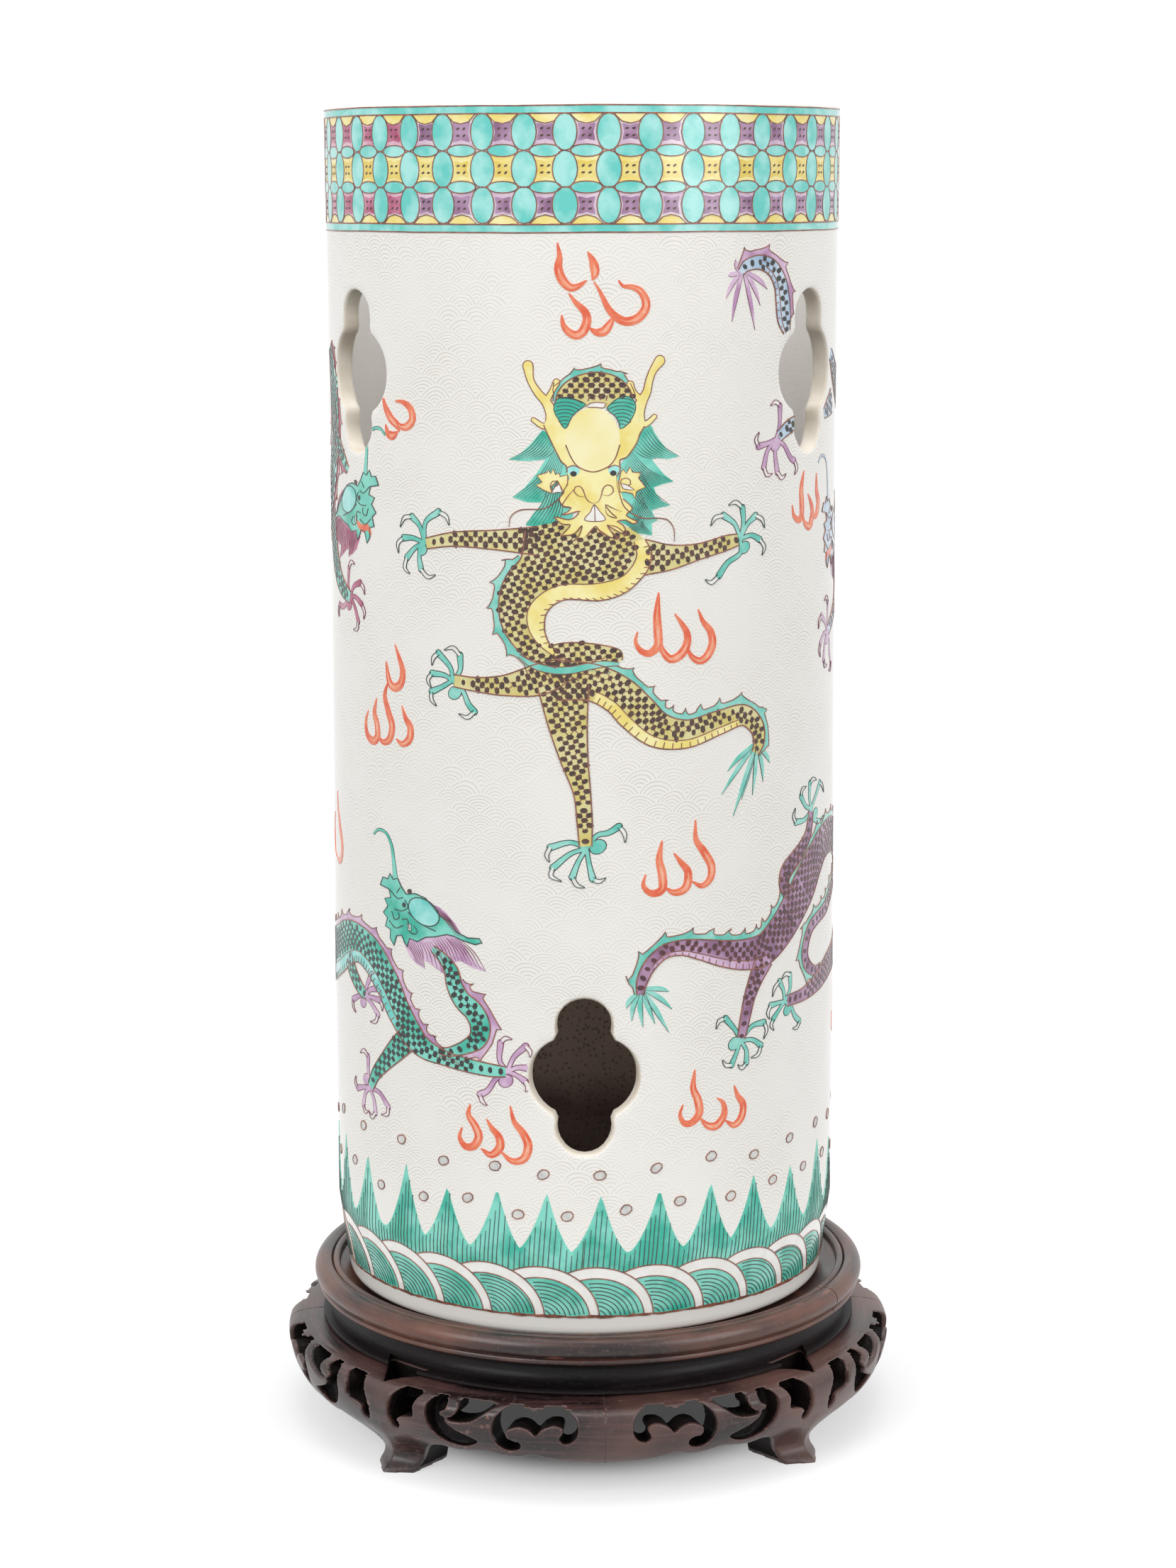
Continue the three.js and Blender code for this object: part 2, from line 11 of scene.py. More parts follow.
import bmesh
import bpy
import mathutils
import numpy as np
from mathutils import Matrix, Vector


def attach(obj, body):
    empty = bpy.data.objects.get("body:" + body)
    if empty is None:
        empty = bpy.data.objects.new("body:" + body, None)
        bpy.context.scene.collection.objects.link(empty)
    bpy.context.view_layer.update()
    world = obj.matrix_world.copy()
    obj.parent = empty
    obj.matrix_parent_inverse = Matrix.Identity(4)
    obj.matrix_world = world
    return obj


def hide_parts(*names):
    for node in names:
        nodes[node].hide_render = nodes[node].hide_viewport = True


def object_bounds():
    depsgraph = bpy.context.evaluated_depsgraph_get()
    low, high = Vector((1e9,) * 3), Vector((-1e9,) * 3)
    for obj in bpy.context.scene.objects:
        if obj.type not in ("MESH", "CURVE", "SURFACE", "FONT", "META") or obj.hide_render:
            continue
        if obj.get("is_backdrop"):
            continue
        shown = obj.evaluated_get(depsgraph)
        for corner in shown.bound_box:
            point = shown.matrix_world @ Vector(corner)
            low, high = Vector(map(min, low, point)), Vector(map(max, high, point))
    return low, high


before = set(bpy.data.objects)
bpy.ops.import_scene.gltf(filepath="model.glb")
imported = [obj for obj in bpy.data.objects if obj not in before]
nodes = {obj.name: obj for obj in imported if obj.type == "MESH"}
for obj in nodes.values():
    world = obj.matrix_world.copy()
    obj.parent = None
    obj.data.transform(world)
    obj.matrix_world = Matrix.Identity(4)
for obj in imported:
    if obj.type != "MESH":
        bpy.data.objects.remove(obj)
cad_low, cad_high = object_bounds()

MM = 0.001
scene = bpy.context.scene

# %% [markdown]
# ## Small helpers
# Every step starts with nothing selected, because an operator acts on all that is selected. A finish is
# drawn as a graph of nodes, so one short function adds a node, sets its sockets and joins its inputs.


# %% Helpers for objects
def deselect():
    """Leaves object mode with nothing selected."""
    if bpy.context.object and bpy.context.object.mode != "OBJECT":
        bpy.ops.object.mode_set(mode="OBJECT")
    bpy.ops.object.select_all(action="DESELECT")


def pick(piece):
    """Selects one piece alone and makes it the active one."""
    deselect()
    piece.select_set(True)
    bpy.context.view_layer.objects.active = piece


def piece_from(name, points, faces=(), edges=()):
    """A new piece from points in metres and faces or edges that join them."""
    mesh = bpy.data.meshes.new(name)
    mesh.from_pydata([tuple(p) for p in points], list(edges), [tuple(f) for f in faces])
    piece = bpy.data.objects.new(name, mesh)
    scene.collection.objects.link(piece)
    pick(piece)
    return piece


def apply_modifier(piece, kind, **settings):
    """Adds a modifier with these settings and applies it."""
    pick(piece)
    modifier = piece.modifiers.new(kind.lower(), kind)
    for name, value in settings.items():
        setattr(modifier, name, value)
    bpy.ops.object.modifier_apply(modifier=modifier.name)


# %% Helpers for finishes
def linear(hex_colour):
    """An sRGB hex colour as the linear values that a shader takes."""
    parts = [int(hex_colour[i : i + 2], 16) / 255 for i in (1, 3, 5)]
    return [p / 12.92 if p <= 0.04045 else ((p + 0.055) / 1.055) ** 2.4 for p in parts] + [1.0]


def join(tree, source, socket):
    """Joins an output, or a node's first output, to a socket."""
    tree.links.new(source.outputs[0] if hasattr(source, "outputs") else source, socket)


def add_node(tree, kind, settings=None, links=None):
    """Adds a shader node, sets its sockets or properties, and joins its inputs to other nodes."""
    made = tree.nodes.new("ShaderNode" + kind)
    for name, value in (settings or {}).items():
        if isinstance(name, int) or name in made.inputs:
            made.inputs[name].default_value = value
        else:
            setattr(made, name, value)
    for name, source in (links or {}).items():
        join(tree, source, made.inputs[name])
    return made


def new_finish(name, roughness, ior=1.5):
    """A material with an empty graph but for its shader and output, and Object coordinates."""
    material = bpy.data.materials.new(name)
    material.use_nodes = True
    tree = material.node_tree
    shader = tree.nodes["Principled BSDF"]
    shader.inputs["Roughness"].default_value = roughness
    shader.inputs["IOR"].default_value = ior
    place = add_node(tree, "TexCoord").outputs["Object"]
    return material, tree, shader, place


def face_outwards(piece):
    """Turns all faces of a closed piece outwards."""
    pick(piece)
    bpy.ops.object.mode_set(mode="EDIT")
    bpy.ops.mesh.select_all(action="SELECT")
    bpy.ops.mesh.normals_make_consistent(inside=False)
    bpy.ops.object.mode_set(mode="OBJECT")


def dress(piece, material):
    """Gives a piece one material."""
    piece.data.materials.clear()
    piece.data.materials.append(material)


# %% [markdown]
# ## Camera and light
# The photograph looks down on the stand by about ten degrees from a long lens. In it the tube leans back a
# few degrees in its recess, while here it stands upright, so the camera is set between the view that fits
# the tube and the one that fits the stand.

# %% Camera
FRAME_HEIGHT_PX = 2212
FOCAL_PX = 4679
SIDE_SHIFT_PX = 7.4
camera_back = 0.7982
camera_height = 0.2999
camera_down = 0.17865
camera_roll = -0.0026
camera_data = bpy.data.cameras.new("camera")
camera_data.sensor_width = 36
camera_data.lens = camera_data.sensor_width * FOCAL_PX / FRAME_HEIGHT_PX
camera_data.shift_x = SIDE_SHIFT_PX / FRAME_HEIGHT_PX
camera = bpy.data.objects.new("camera", camera_data)
scene.collection.objects.link(camera)
camera.location = (-0.001, -camera_back, camera_height)
camera.rotation_euler = (math.pi / 2 - camera_down, 0, 0)
camera.rotation_euler.rotate_axis("Z", camera_roll)
scene.camera = camera
scene.view_settings.view_transform = "Standard"
print("camera:", round(camera_data.lens, 2), "mm lens,", round(math.degrees(camera_down), 1),
    "degrees down")


# %% Lamps, world and floor
def soft_lamp(name, place, size, watts, target=(0, 0, 0.14)):
    """A square soft box that faces the object."""
    data = bpy.data.lights.new(name, "AREA")
    data.energy = watts
    data.size = size
    lamp = bpy.data.objects.new(name, data)
    scene.collection.objects.link(lamp)
    lamp.location = place
    aim = mathutils.Vector(target) - mathutils.Vector(place)
    lamp.rotation_euler = aim.to_track_quat("-Z", "Y").to_euler()


soft_lamp("soft_box_left", (-0.75, -0.75, 0.75), 0.7, 6.5)
soft_lamp("soft_box_right", (0.85, -0.65, 0.6), 0.7, 5.0)
soft_lamp("soft_box_top", (0, 0.1, 1.2), 0.8, 5.0)

world = bpy.data.worlds.new("studio")
scene.world = world
world.use_nodes = True
world_tree = world.node_tree
world_light = world_tree.nodes["Background"]
world_light.inputs["Color"].default_value = (1, 1, 1, 1)
ray = add_node(world_tree, "LightPath")


def seen_as_white(tree, ray):
    """1 for what the camera sees, straight, mirrored or through glass, and 0 for other rays."""
    seen = ray.outputs["Is Camera Ray"]
    for kind in ("Is Glossy Ray", "Is Transmission Ray"):
        seen = add_node(tree, "Math", {"operation": "MAXIMUM"}, {0: seen, 1: ray.outputs[kind]})
    return seen


world_level = add_node(world_tree, "MapRange", {"To Min": 0.8, "To Max": 1.0},
    {"Value": seen_as_white(world_tree, ray)})
join(world_tree, world_level, world_light.inputs["Strength"])

deselect()
bpy.ops.mesh.primitive_plane_add(size=3, location=(0, 0, 0))
floor = bpy.context.object
floor.name = "studio_floor"
paper, paper_tree, paper_shader, paper_place = new_finish("white_studio_paper", 0.9)
paper_shader.inputs["Specular IOR Level"].default_value = 0.0
paper_shader.inputs["Emission Color"].default_value = (1, 1, 1, 1)
away = add_node(paper_tree, "VectorMath", {"operation": "LENGTH"}, {0: paper_place}).outputs["Value"]
fade = add_node(paper_tree, "MapRange",
    {"interpolation_type": "SMOOTHSTEP", "From Min": 0.1, "From Max": 0.3}, {"Value": away})
paper_colour = add_node(paper_tree, "MixRGB", {"Color1": (0.5, 0.5, 0.5, 1), "Color2": (0, 0, 0, 1)},
    {"Fac": fade})
join(paper_tree, paper_colour, paper_shader.inputs["Base Color"])
paper_ray = add_node(paper_tree, "LightPath")
paper_glow = add_node(paper_tree, "MapRange", {"To Min": 0.5, "To Max": 1.0}, {"Value": fade})
# Painted shadow: under the stand the floor's glow drops to a tenth, so the floor seen through the carving and
# close round the feet is dark.
under = add_node(paper_tree, "MapRange",
    {"interpolation_type": "SMOOTHSTEP", "From Min": 0.044, "From Max": 0.061, "To Min": 0.1,
        "To Max": 1.0}, {"Value": away})
paper_glow = add_node(paper_tree, "Math", {"operation": "MULTIPLY"}, {0: paper_glow, 1: under})
paper_seen = add_node(paper_tree, "Math", {"operation": "MULTIPLY"},
    {0: seen_as_white(paper_tree, paper_ray), 1: paper_glow})
join(paper_tree, paper_seen, paper_shader.inputs["Emission Strength"])
dress(floor, paper)
floor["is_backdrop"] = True
print("lamps: 3 soft boxes over white paper")

# %% [markdown]
# ## The porcelain tube
# The real tube is thrown and turned, then six openings are cut through the leather-hard clay. Here its wall
# starts as a flat sheet, as wide as the tube is round, with the openings already in it. It is rolled up, its
# ends are welded, it gets its thickness, and then the lip, the foot and the cut edges are rounded, as the
# glaze rounds them. The sheet keeps its own flat coordinates as a UV map, so that patterns follow the wall.

# %% Sizes of the tube
tube_shift = mathutils.Vector((-0.8, -0.8, 0)) * MM
tube_bottom = 35.3
tube_height = 283.5
tube_radius = 60.5
tube_wall = 4
tube_top = tube_bottom + tube_height
turn_length = 2 * math.pi * tube_radius
drawing_floor = 37.0
profile_heights = [0, 1.8, 20, tube_height * 0.26, tube_height * 0.72, tube_height]
profile_radii = [58.4, 58.6, 60.9, 61.0, 60.2, 60.5]
low_row = tube_bottom + tube_height * 0.2226 - drawing_floor
high_row = tube_bottom + tube_height * 0.7852 - drawing_floor


def outside(up):
    """Radius of the tube's outer face at a height over its foot, in mm."""
    return np.interp(up, profile_heights, profile_radii)


def on_tube(across, up, proud=0.0):
    """Where a point of the flat drawing lies on the tube. All in mm, but for the metres that come back."""
    azimuth = across / tube_radius
    reach = outside(up + drawing_floor - tube_bottom) + proud
    x = reach * math.sin(azimuth)
    y = -reach * math.cos(azimuth)
    return (x * MM + tube_shift.x, y * MM + tube_shift.y, (up + drawing_floor) * MM)


print("tube:", tube_height, "mm tall,", round(turn_length, 1), "mm round")


# %% The outline of an opening
def arc_points(middle, radius, start, stop, steps=14):
    """Points on an arc, in degrees."""
    turns = [math.radians(start + (stop - start) * i / steps) for i in range(steps + 1)]
    return [(middle[0] + radius * math.cos(t), middle[1] + radius * math.sin(t)) for t in turns]


side_lobe = (9.4, 3.3)
end_lobe = (6.6, 11.9)


def quatrefoil(middle):
    """The opening: two wide side lobes and two narrower end lobes, with the corners between them eased."""
    gap = math.hypot(side_lobe[1], end_lobe[1])
    along = (end_lobe[0] ** 2 - side_lobe[0] ** 2 + gap**2) / (2 * gap)
    off = math.sqrt(end_lobe[0] ** 2 - along**2)
    ux, uz = side_lobe[1] / gap, -end_lobe[1] / gap
    notch = (ux * along - uz * off, end_lobe[1] + uz * along + ux * off)
    side_turn = math.degrees(math.atan2(notch[1], notch[0] - side_lobe[1]))
    end_turn = math.degrees(math.atan2(notch[1] - end_lobe[1], notch[0]))
    side_trim = math.degrees(1.2 / side_lobe[0])
    end_trim = math.degrees(1.2 / end_lobe[0])
    right = arc_points((side_lobe[1], 0), side_lobe[0], side_trim - side_turn, side_turn - side_trim, 18)
    top = arc_points((0, end_lobe[1]), end_lobe[0], end_turn + end_trim, 180 - end_turn - end_trim, 14)
    outline = right + top + [(-x, -z) for x, z in right] + [(-x, -z) for x, z in top]
    return [(middle[0] + x, middle[1] + z) for x, z in outline]


third = turn_length / 3
opening_middles = [(i * third, low_row) for i in (-2, -1, 0)]
opening_middles += [((i + 0.5) * third, high_row) for i in (-1, 0)] + [(-1.5 * third, high_row)]
openings = [quatrefoil(m) for m in opening_middles]


def in_opening(across, up, margin=0.0):
    """Whether a point of the flat drawing lies in an opening, or nearer to one than the margin."""
    for middle in opening_middles:
        dx = abs((across - middle[0] + turn_length / 2) % turn_length - turn_length / 2)
        dz = abs(up - middle[1])
        if math.hypot(dx - side_lobe[1], dz) < side_lobe[0] + margin:
            return True
        if math.hypot(dx, dz - end_lobe[1]) < end_lobe[0] + margin:
            return True
        if dx < side_lobe[1] and dz < side_lobe[0] + margin:
            return True
    return False


print("openings:", len(openings), "with", len(openings[0]), "points each")


# %% The rolled wall
def tube_wall_piece():
    """The wall as a flat sheet with six openings, rolled up, with its ends welded."""
    seam = turn_length / 4
    columns, rows = 168, 112
    bottom, top = tube_bottom - drawing_floor, tube_top - drawing_floor
    points = []
    for i in range(columns + 1):
        for k in range(rows + 1):
            across = seam - turn_length + turn_length * i / columns
            up = bottom + (top - bottom) * k / rows
            if not in_opening(across, up, 0.9):
                points.append((across, up))
    edges = []
    for outline in openings:
        first = len(points)
        points += outline
        edges += [(first + i, first + (i + 1) % len(outline)) for i in range(len(outline))]
    flat = mathutils.geometry.delaunay_2d_cdt([mathutils.Vector(p) for p in points], edges, [], 0, 1e-5)
    corners, faces = flat[0], flat[2]
    kept = []
    for face in faces:
        middle = sum((corners[i] for i in face), mathutils.Vector((0, 0))) / len(face)
        if not in_opening(middle.x, middle.y, -0.01):
            kept.append(face)
    piece = piece_from("tube_wall", [on_tube(c.x, c.y) for c in corners], kept)
    drawing = piece.data.uv_layers.new(name="unrolled")
    for loop in piece.data.loops:
        corner = corners[loop.vertex_index]
        drawing.data[loop.index].uv = (corner.x * MM, corner.y * MM)
    bpy.ops.object.mode_set(mode="EDIT")
    bpy.ops.mesh.select_all(action="SELECT")
    bpy.ops.mesh.remove_doubles(threshold=1e-6)
    bpy.ops.mesh.tris_convert_to_quads()
    bpy.ops.mesh.normals_make_consistent(inside=False)
    bpy.ops.object.mode_set(mode="OBJECT")
    return piece


tube = tube_wall_piece()
facing = sum(f.normal.dot((f.center - tube_shift) * mathutils.Vector((1, 1, 0))) > 0
    for f in tube.data.polygons)
if facing < len(tube.data.polygons) / 2:
    pick(tube)
    bpy.ops.object.mode_set(mode="EDIT")
    bpy.ops.mesh.select_all(action="SELECT")
    bpy.ops.mesh.flip_normals()
    bpy.ops.object.mode_set(mode="OBJECT")
apply_modifier(tube, "SOLIDIFY", thickness=tube_wall * MM, offset=-1, use_even_offset=True)
print("tube wall:", len(tube.data.polygons), "faces")


# %% Round the lip, the foot and the cut edges
def round_edges(piece, wanted, width, steps):
    """Bevels the sharp edges whose middle the test accepts."""
    pick(piece)
    bpy.ops.object.mode_set(mode="EDIT")
    bpy.ops.mesh.select_mode(type="EDGE")
    bpy.ops.mesh.select_all(action="DESELECT")
    bpy.ops.mesh.edges_select_sharp(sharpness=math.radians(50))
    drawn = bmesh.from_edit_mesh(piece.data)
    for edge in drawn.edges:
        if edge.select and not wanted((edge.verts[0].co + edge.verts[1].co) / 2):
            edge.select_set(False)
    count = sum(e.select for e in drawn.edges)
    bmesh.update_edit_mesh(piece.data)
    bpy.ops.mesh.bevel(offset=width * MM, segments=steps, affect="EDGES", clamp_overlap=True)
    bpy.ops.object.mode_set(mode="OBJECT")
    return count


lip_edges = round_edges(tube, lambda p: p.z > (tube_top - 0.5) * MM, 1.7, 5)
foot_edges = round_edges(tube, lambda p: p.z < (tube_bottom + 0.5) * MM, 1.4, 3)
cut_edges = round_edges(tube, lambda p: (tube_bottom + 10) * MM < p.z < (tube_top - 10) * MM, 0.8, 3)
pick(tube)
bpy.ops.object.shade_smooth_by_angle(angle=math.radians(40))
tube.name = "porcelain_tube_wall"
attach(tube, "tube")
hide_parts("porcelain_tube")
print("rounded edges: lip", lip_edges, "foot", foot_edges, "openings", cut_edges)

# %% [markdown]
# ## The glaze
# Clear glaze over slip-white porcelain reads as a warm white with a sharp, smooth gloss. Under it the
# potter incised rows of overlapping wave fans, each ruled with fine arcs. They are worked out from
# the unrolled coordinates: a row of circles hides part of the row over it, and each circle is ruled with
# arcs. The real arcs are 0.6 mm apart, and here 0.8 mm, so that they show.

# %% Glazed porcelain
WAVE_WIDTH = 7.4 * MM
WAVE_RISE = 2.6 * MM
WAVE_REACH = 4.6 * MM
ARC_STEP = 0.8 * MM
WAVES_FROM = 17 * MM
WAVES_TO = 252 * MM


def wave_row(tree, across, up, lower_by):
    """Distance to the nearest circle centre in a row of waves."""
    row = add_node(tree, "Math", {"operation": "DIVIDE", 1: WAVE_RISE}, {0: up})
    row = add_node(tree, "Math", {"operation": "FLOOR"}, {0: row})
    row = add_node(tree, "Math", {"operation": "SUBTRACT", 1: lower_by}, {0: row})
    odd = add_node(tree, "Math", {"operation": "MODULO", 1: 2.0}, {0: row})
    start = add_node(tree, "Math", {"operation": "MULTIPLY_ADD", 1: WAVE_WIDTH / 2}, {0: odd, 2: across})
    aside = add_node(tree, "Math", {"operation": "PINGPONG", 1: WAVE_WIDTH / 2}, {0: start})
    base = add_node(tree, "Math", {"operation": "MULTIPLY", 1: WAVE_RISE}, {0: row})
    rise = add_node(tree, "Math", {"operation": "SUBTRACT"}, {0: up, 1: base})
    reach = add_node(tree, "CombineXYZ", {}, {"X": aside, "Y": rise})
    return add_node(tree, "VectorMath", {"operation": "LENGTH"}, {0: reach}).outputs["Value"]


def glazed_porcelain():
    """White glaze over incised waves: smooth, glossy, faintly warm, with the incised lines tinted a little
    darker.
    """
    material, tree, shader, place = new_finish("glazed_incised_porcelain", 0.1, 1.5)
    shader.inputs["Coat Weight"].default_value = 0.3
    shader.inputs["Coat Roughness"].default_value = 0.06
    drawing = add_node(tree, "UVMap", {"uv_map": "unrolled"}).outputs["UV"]
    sway = add_node(tree, "TexNoise", {"Scale": 90.0, "Detail": 1.0}, {"Vector": drawing})
    swayed = add_node(tree, "VectorMath", {"operation": "MULTIPLY_ADD", 1: (3.4 * MM, 3.4 * MM, 0)},
        {0: sway.outputs["Color"], 2: drawing})
    parts = add_node(tree, "SeparateXYZ", {}, {"Vector": swayed})
    across, up = parts.outputs["X"], parts.outputs["Y"]
    reaches = [wave_row(tree, across, up, lower_by) for lower_by in (1.0, 0.0)]
    hides = add_node(tree, "Math", {"operation": "LESS_THAN", 1: WAVE_REACH}, {0: reaches[0]})
    reach = add_node(tree, "Mix", {"data_type": "FLOAT"}, {0: hides, 2: reaches[1], 3: reaches[0]})
    ruled = add_node(tree, "Math", {"operation": "PINGPONG", 1: ARC_STEP / 2}, {0: reach})
    line = add_node(tree, "MapRange",
        {"From Min": 0.04 * MM, "From Max": 0.14 * MM, "To Min": 1.0, "To Max": 0.0}, {"Value": ruled})
    patchy = add_node(tree, "TexNoise", {"Scale": 45.0, "Detail": 2.0}, {"Vector": drawing})
    depth = add_node(tree, "MapRange", {"From Min": 0.35, "From Max": 0.65, "To Min": 0.25},
        {"Value": patchy})
    height = add_node(tree, "SeparateXYZ", {}, {"Vector": drawing}).outputs["Y"]
    over_waves = add_node(tree, "Math", {"operation": "GREATER_THAN", 1: WAVES_FROM}, {0: height})
    under_band = add_node(tree, "Math", {"operation": "LESS_THAN", 1: WAVES_TO}, {0: height})
    for share in (depth, over_waves, under_band):
        line = add_node(tree, "Math", {"operation": "MULTIPLY"}, {0: line, 1: share})
    cloud = add_node(tree, "TexNoise", {"Scale": 28.0, "Detail": 3.0}, {"Vector": place})
    white = add_node(tree, "MixRGB", {"Color1": linear("#f4f2ee"), "Color2": linear("#efece5")},
        {"Fac": cloud})
    tinted = add_node(tree, "MixRGB", {"Color2": linear("#d2cdc1")}, {"Fac": line, "Color1": white})
    stain_noise = add_node(tree, "TexNoise", {"Scale": 34.0, "Detail": 5.0}, {"Vector": place})
    stain = add_node(tree, "MapRange", {"From Min": 0.68, "From Max": 0.8, "To Max": 0.3},
        {"Value": stain_noise})
    stained = add_node(tree, "MixRGB", {"Color2": linear("#e2d2b4")}, {"Fac": stain, "Color1": tinted})
    grit = add_node(tree, "TexVoronoi", {"Scale": 210.0}, {"Vector": place})
    pit = add_node(tree, "MapRange", {"From Min": 0.03, "From Max": 0.07, "To Min": 0.5, "To Max": 0.0},
        {"Value": grit})
    rare = add_node(tree, "Math", {"operation": "GREATER_THAN", 1: 0.93}, {0: grit.outputs["Color"]})
    pit = add_node(tree, "Math", {"operation": "MULTIPLY"}, {0: pit, 1: rare})
    colour = add_node(tree, "MixRGB", {"Color2": linear("#8f8474")}, {"Fac": pit, "Color1": stained})
    join(tree, colour, shader.inputs["Base Color"])
    ripple = add_node(tree, "TexNoise", {"Scale": 24.0, "Detail": 0.0}, {"Vector": place})
    relief = add_node(tree, "Math", {"operation": "MULTIPLY_ADD", 1: -0.35}, {0: line, 2: ripple})
    bump = add_node(tree, "Bump", {"Strength": 0.35, "Distance": 0.15 * MM}, {"Height": relief})
    join(tree, bump, shader.inputs["Normal"])
    return material


def cut_biscuit():
    """The cut edges of the openings: thin glaze over creamy clay, a little rough and unevenly stained."""
    material, tree, shader, place = new_finish("thin_glaze_on_cut_clay", 0.38, 1.5)
    mottle = add_node(tree, "TexNoise", {"Scale": 160.0, "Detail": 4.0}, {"Vector": place})
    colour = add_node(tree, "MixRGB", {"Color1": linear("#efeae0"), "Color2": linear("#cdbfa9")},
        {"Fac": mottle})
    join(tree, colour, shader.inputs["Base Color"])
    bump = add_node(tree, "Bump", {"Strength": 0.3, "Distance": 0.2 * MM}, {"Height": mottle})
    join(tree, bump, shader.inputs["Normal"])
    return material


def inside_glaze_painted_shade():
    """The inside of the tube: dull glaze painted greyer than the outside and darker further down, as painted
    shade inside the tube, and dark brown and speckled at the bottom.
    """
    material, tree, shader, place = new_finish("dull_inside_glaze", 0.5, 1.5)
    height = add_node(tree, "SeparateXYZ", {}, {"Vector": place}).outputs["Z"]
    sway = add_node(tree, "TexNoise", {"Scale": 20.0, "Detail": 4.0}, {"Vector": place})
    level = add_node(tree, "Math", {"operation": "MULTIPLY_ADD", 1: 0.03}, {0: sway, 2: height})
    rise = add_node(tree, "ValToRGB", {}, {}).color_ramp
    ramp = tree.nodes[-1]
    scaled = add_node(tree, "MapRange", {"From Min": 0.03, "From Max": 0.32}, {"Value": level})
    join(tree, scaled, ramp.inputs["Fac"])
    # Painted shade: these stops turn the inside glaze greyer than the outside and darker further down; the
    # lowest stops are the dark brown band at the bottom.
    stops = [(0.0, "#4c3f37"), (0.15, "#6e5c54"), (0.18, "#a8968a"), (0.4, "#a99a8e"), (0.6, "#dedad4")]
    rise.elements[0].position, rise.elements[0].color = stops[0][0], linear(stops[0][1])
    rise.elements[1].position, rise.elements[1].color = 1.0, linear("#edebe7")
    for share, shade in stops[1:]:
        rise.elements.new(share).color = linear(shade)
    grit = add_node(tree, "TexVoronoi", {"Scale": 800.0}, {"Vector": place})
    speck = add_node(tree, "MapRange", {"From Min": 0.15, "From Max": 0.4, "To Min": 0.6, "To Max": 0.0},
        {"Value": grit})
    colour = add_node(tree, "MixRGB", {"Color2": linear("#2e2520")}, {"Fac": speck, "Color1": ramp})
    low_only = add_node(tree, "MapRange", {"From Min": 0.12, "From Max": 0.2, "To Min": 1.0, "To Max": 0.0},
        {"Value": height})
    colour = add_node(tree, "MixRGB", {}, {"Fac": low_only, "Color1": ramp, "Color2": colour})
    join(tree, colour, shader.inputs["Base Color"])
    bump = add_node(tree, "Bump", {"Strength": 0.25, "Distance": 0.2 * MM}, {"Height": grit})
    join(tree, bump, shader.inputs["Normal"])
    return material


dress(tube, glazed_porcelain())
tube.data.materials.append(cut_biscuit())
tube.data.materials.append(inside_glaze_painted_shade())
for face in tube.data.polygons:
    outward = mathutils.Vector((face.center.x - tube_shift.x, face.center.y - tube_shift.y, 0))
    inside = outward.length < (tube_radius - tube_wall + 1.4) * MM
    turned_in = face.normal.dot(outward.normalized()) < -0.5
    cut = abs(face.normal.dot(outward.normalized())) < 0.86
    within = (tube_bottom + 10) * MM < face.center.z < (tube_top - 10) * MM
    if turned_in and inside and face.center.z < (tube_top - 4) * MM:
        face.material_index = 2
    elif cut and within:
        face.material_index = 1
print("tube finishes:", [m.name for m in tube.data.materials])

# %% [markdown]
# ## Enamel painting
# The painter draws on the fired glaze with a fine brown line, then floods the shapes with coloured enamels
# that melt into thin glassy pads. So each colour here is a thin closed pad of real thickness: it is drawn
# flat, in millimetres round the tube and up from the foot line, split into narrow strips, rolled on to the
# glaze and given a thickness. Lines and dots lie over the colours.

# %% Flat drawing tools
paintings = {}
# How far each layer stands proud, in mm. A flat strip dips 0.014 mm under the round wall at its middle, so
# layers that overlap lie further apart than that.
LEVELS = {"under": 0.03, "fin": 0.055, "wash": 0.08, "fin_over": 0.098, "over": 0.115}
LEVELS.update({"dot": 0.14, "line": 0.17, "top": 0.19})
STEP_UP = 0.0004
STEPS_UP = 40


def paint(piece, enamel, level, points, faces, split=False):
    """Adds flat shapes to a painted piece: what it is part of, its enamel, and how far it stands proud."""
    flat = paintings.setdefault((piece, enamel, level),
        {"points": [], "faces": [], "proud": [], "split": split})
    first = len(flat["points"])
    proud = LEVELS[level] + STEP_UP * (len(flat["faces"]) % STEPS_UP)
    flat["points"] += points
    flat["proud"] += [proud] * len(points)
    flat["faces"] += [tuple(first + i for i in face) for face in faces]
    flat["split"] = flat["split"] or split


def smooth_path(knots, step=0.8, closed=False):
    """A smooth curve through the knots. A knot may hold more than two numbers, such as a width."""
    knots = [np.array(k, float) for k in knots]
    if closed:
        knots = [knots[-1]] + knots + knots[:2]
    else:
        knots = [2 * knots[0] - knots[1]] + knots + [2 * knots[-1] - knots[-2]]
    path = []
    for a, b, c, d in zip(knots, knots[1:], knots[2:], knots[3:]):
        steps = max(1, round(float(np.hypot(*(c - b)[:2])) / step))
        for i in range(steps):
            t = i / steps
            point = 0.5 * (2 * b + (c - a) * t + (2 * a - 5 * b + 4 * c - d) * t**2
                + (3 * b - a - 3 * c + d) * t**3)
            path.append(point)
    if not closed:
        path.append(knots[-2])
    return path


def normals_along(path):
    """The left-hand normal at each point of a path."""
    result = []
    for i in range(len(path)):
        ahead = path[min(i + 1, len(path) - 1)][:2] - path[max(i - 1, 0)][:2]
        length = float(np.hypot(*ahead)) or 1.0
        result.append(np.array([-ahead[1], ahead[0]]) / length)
    return result


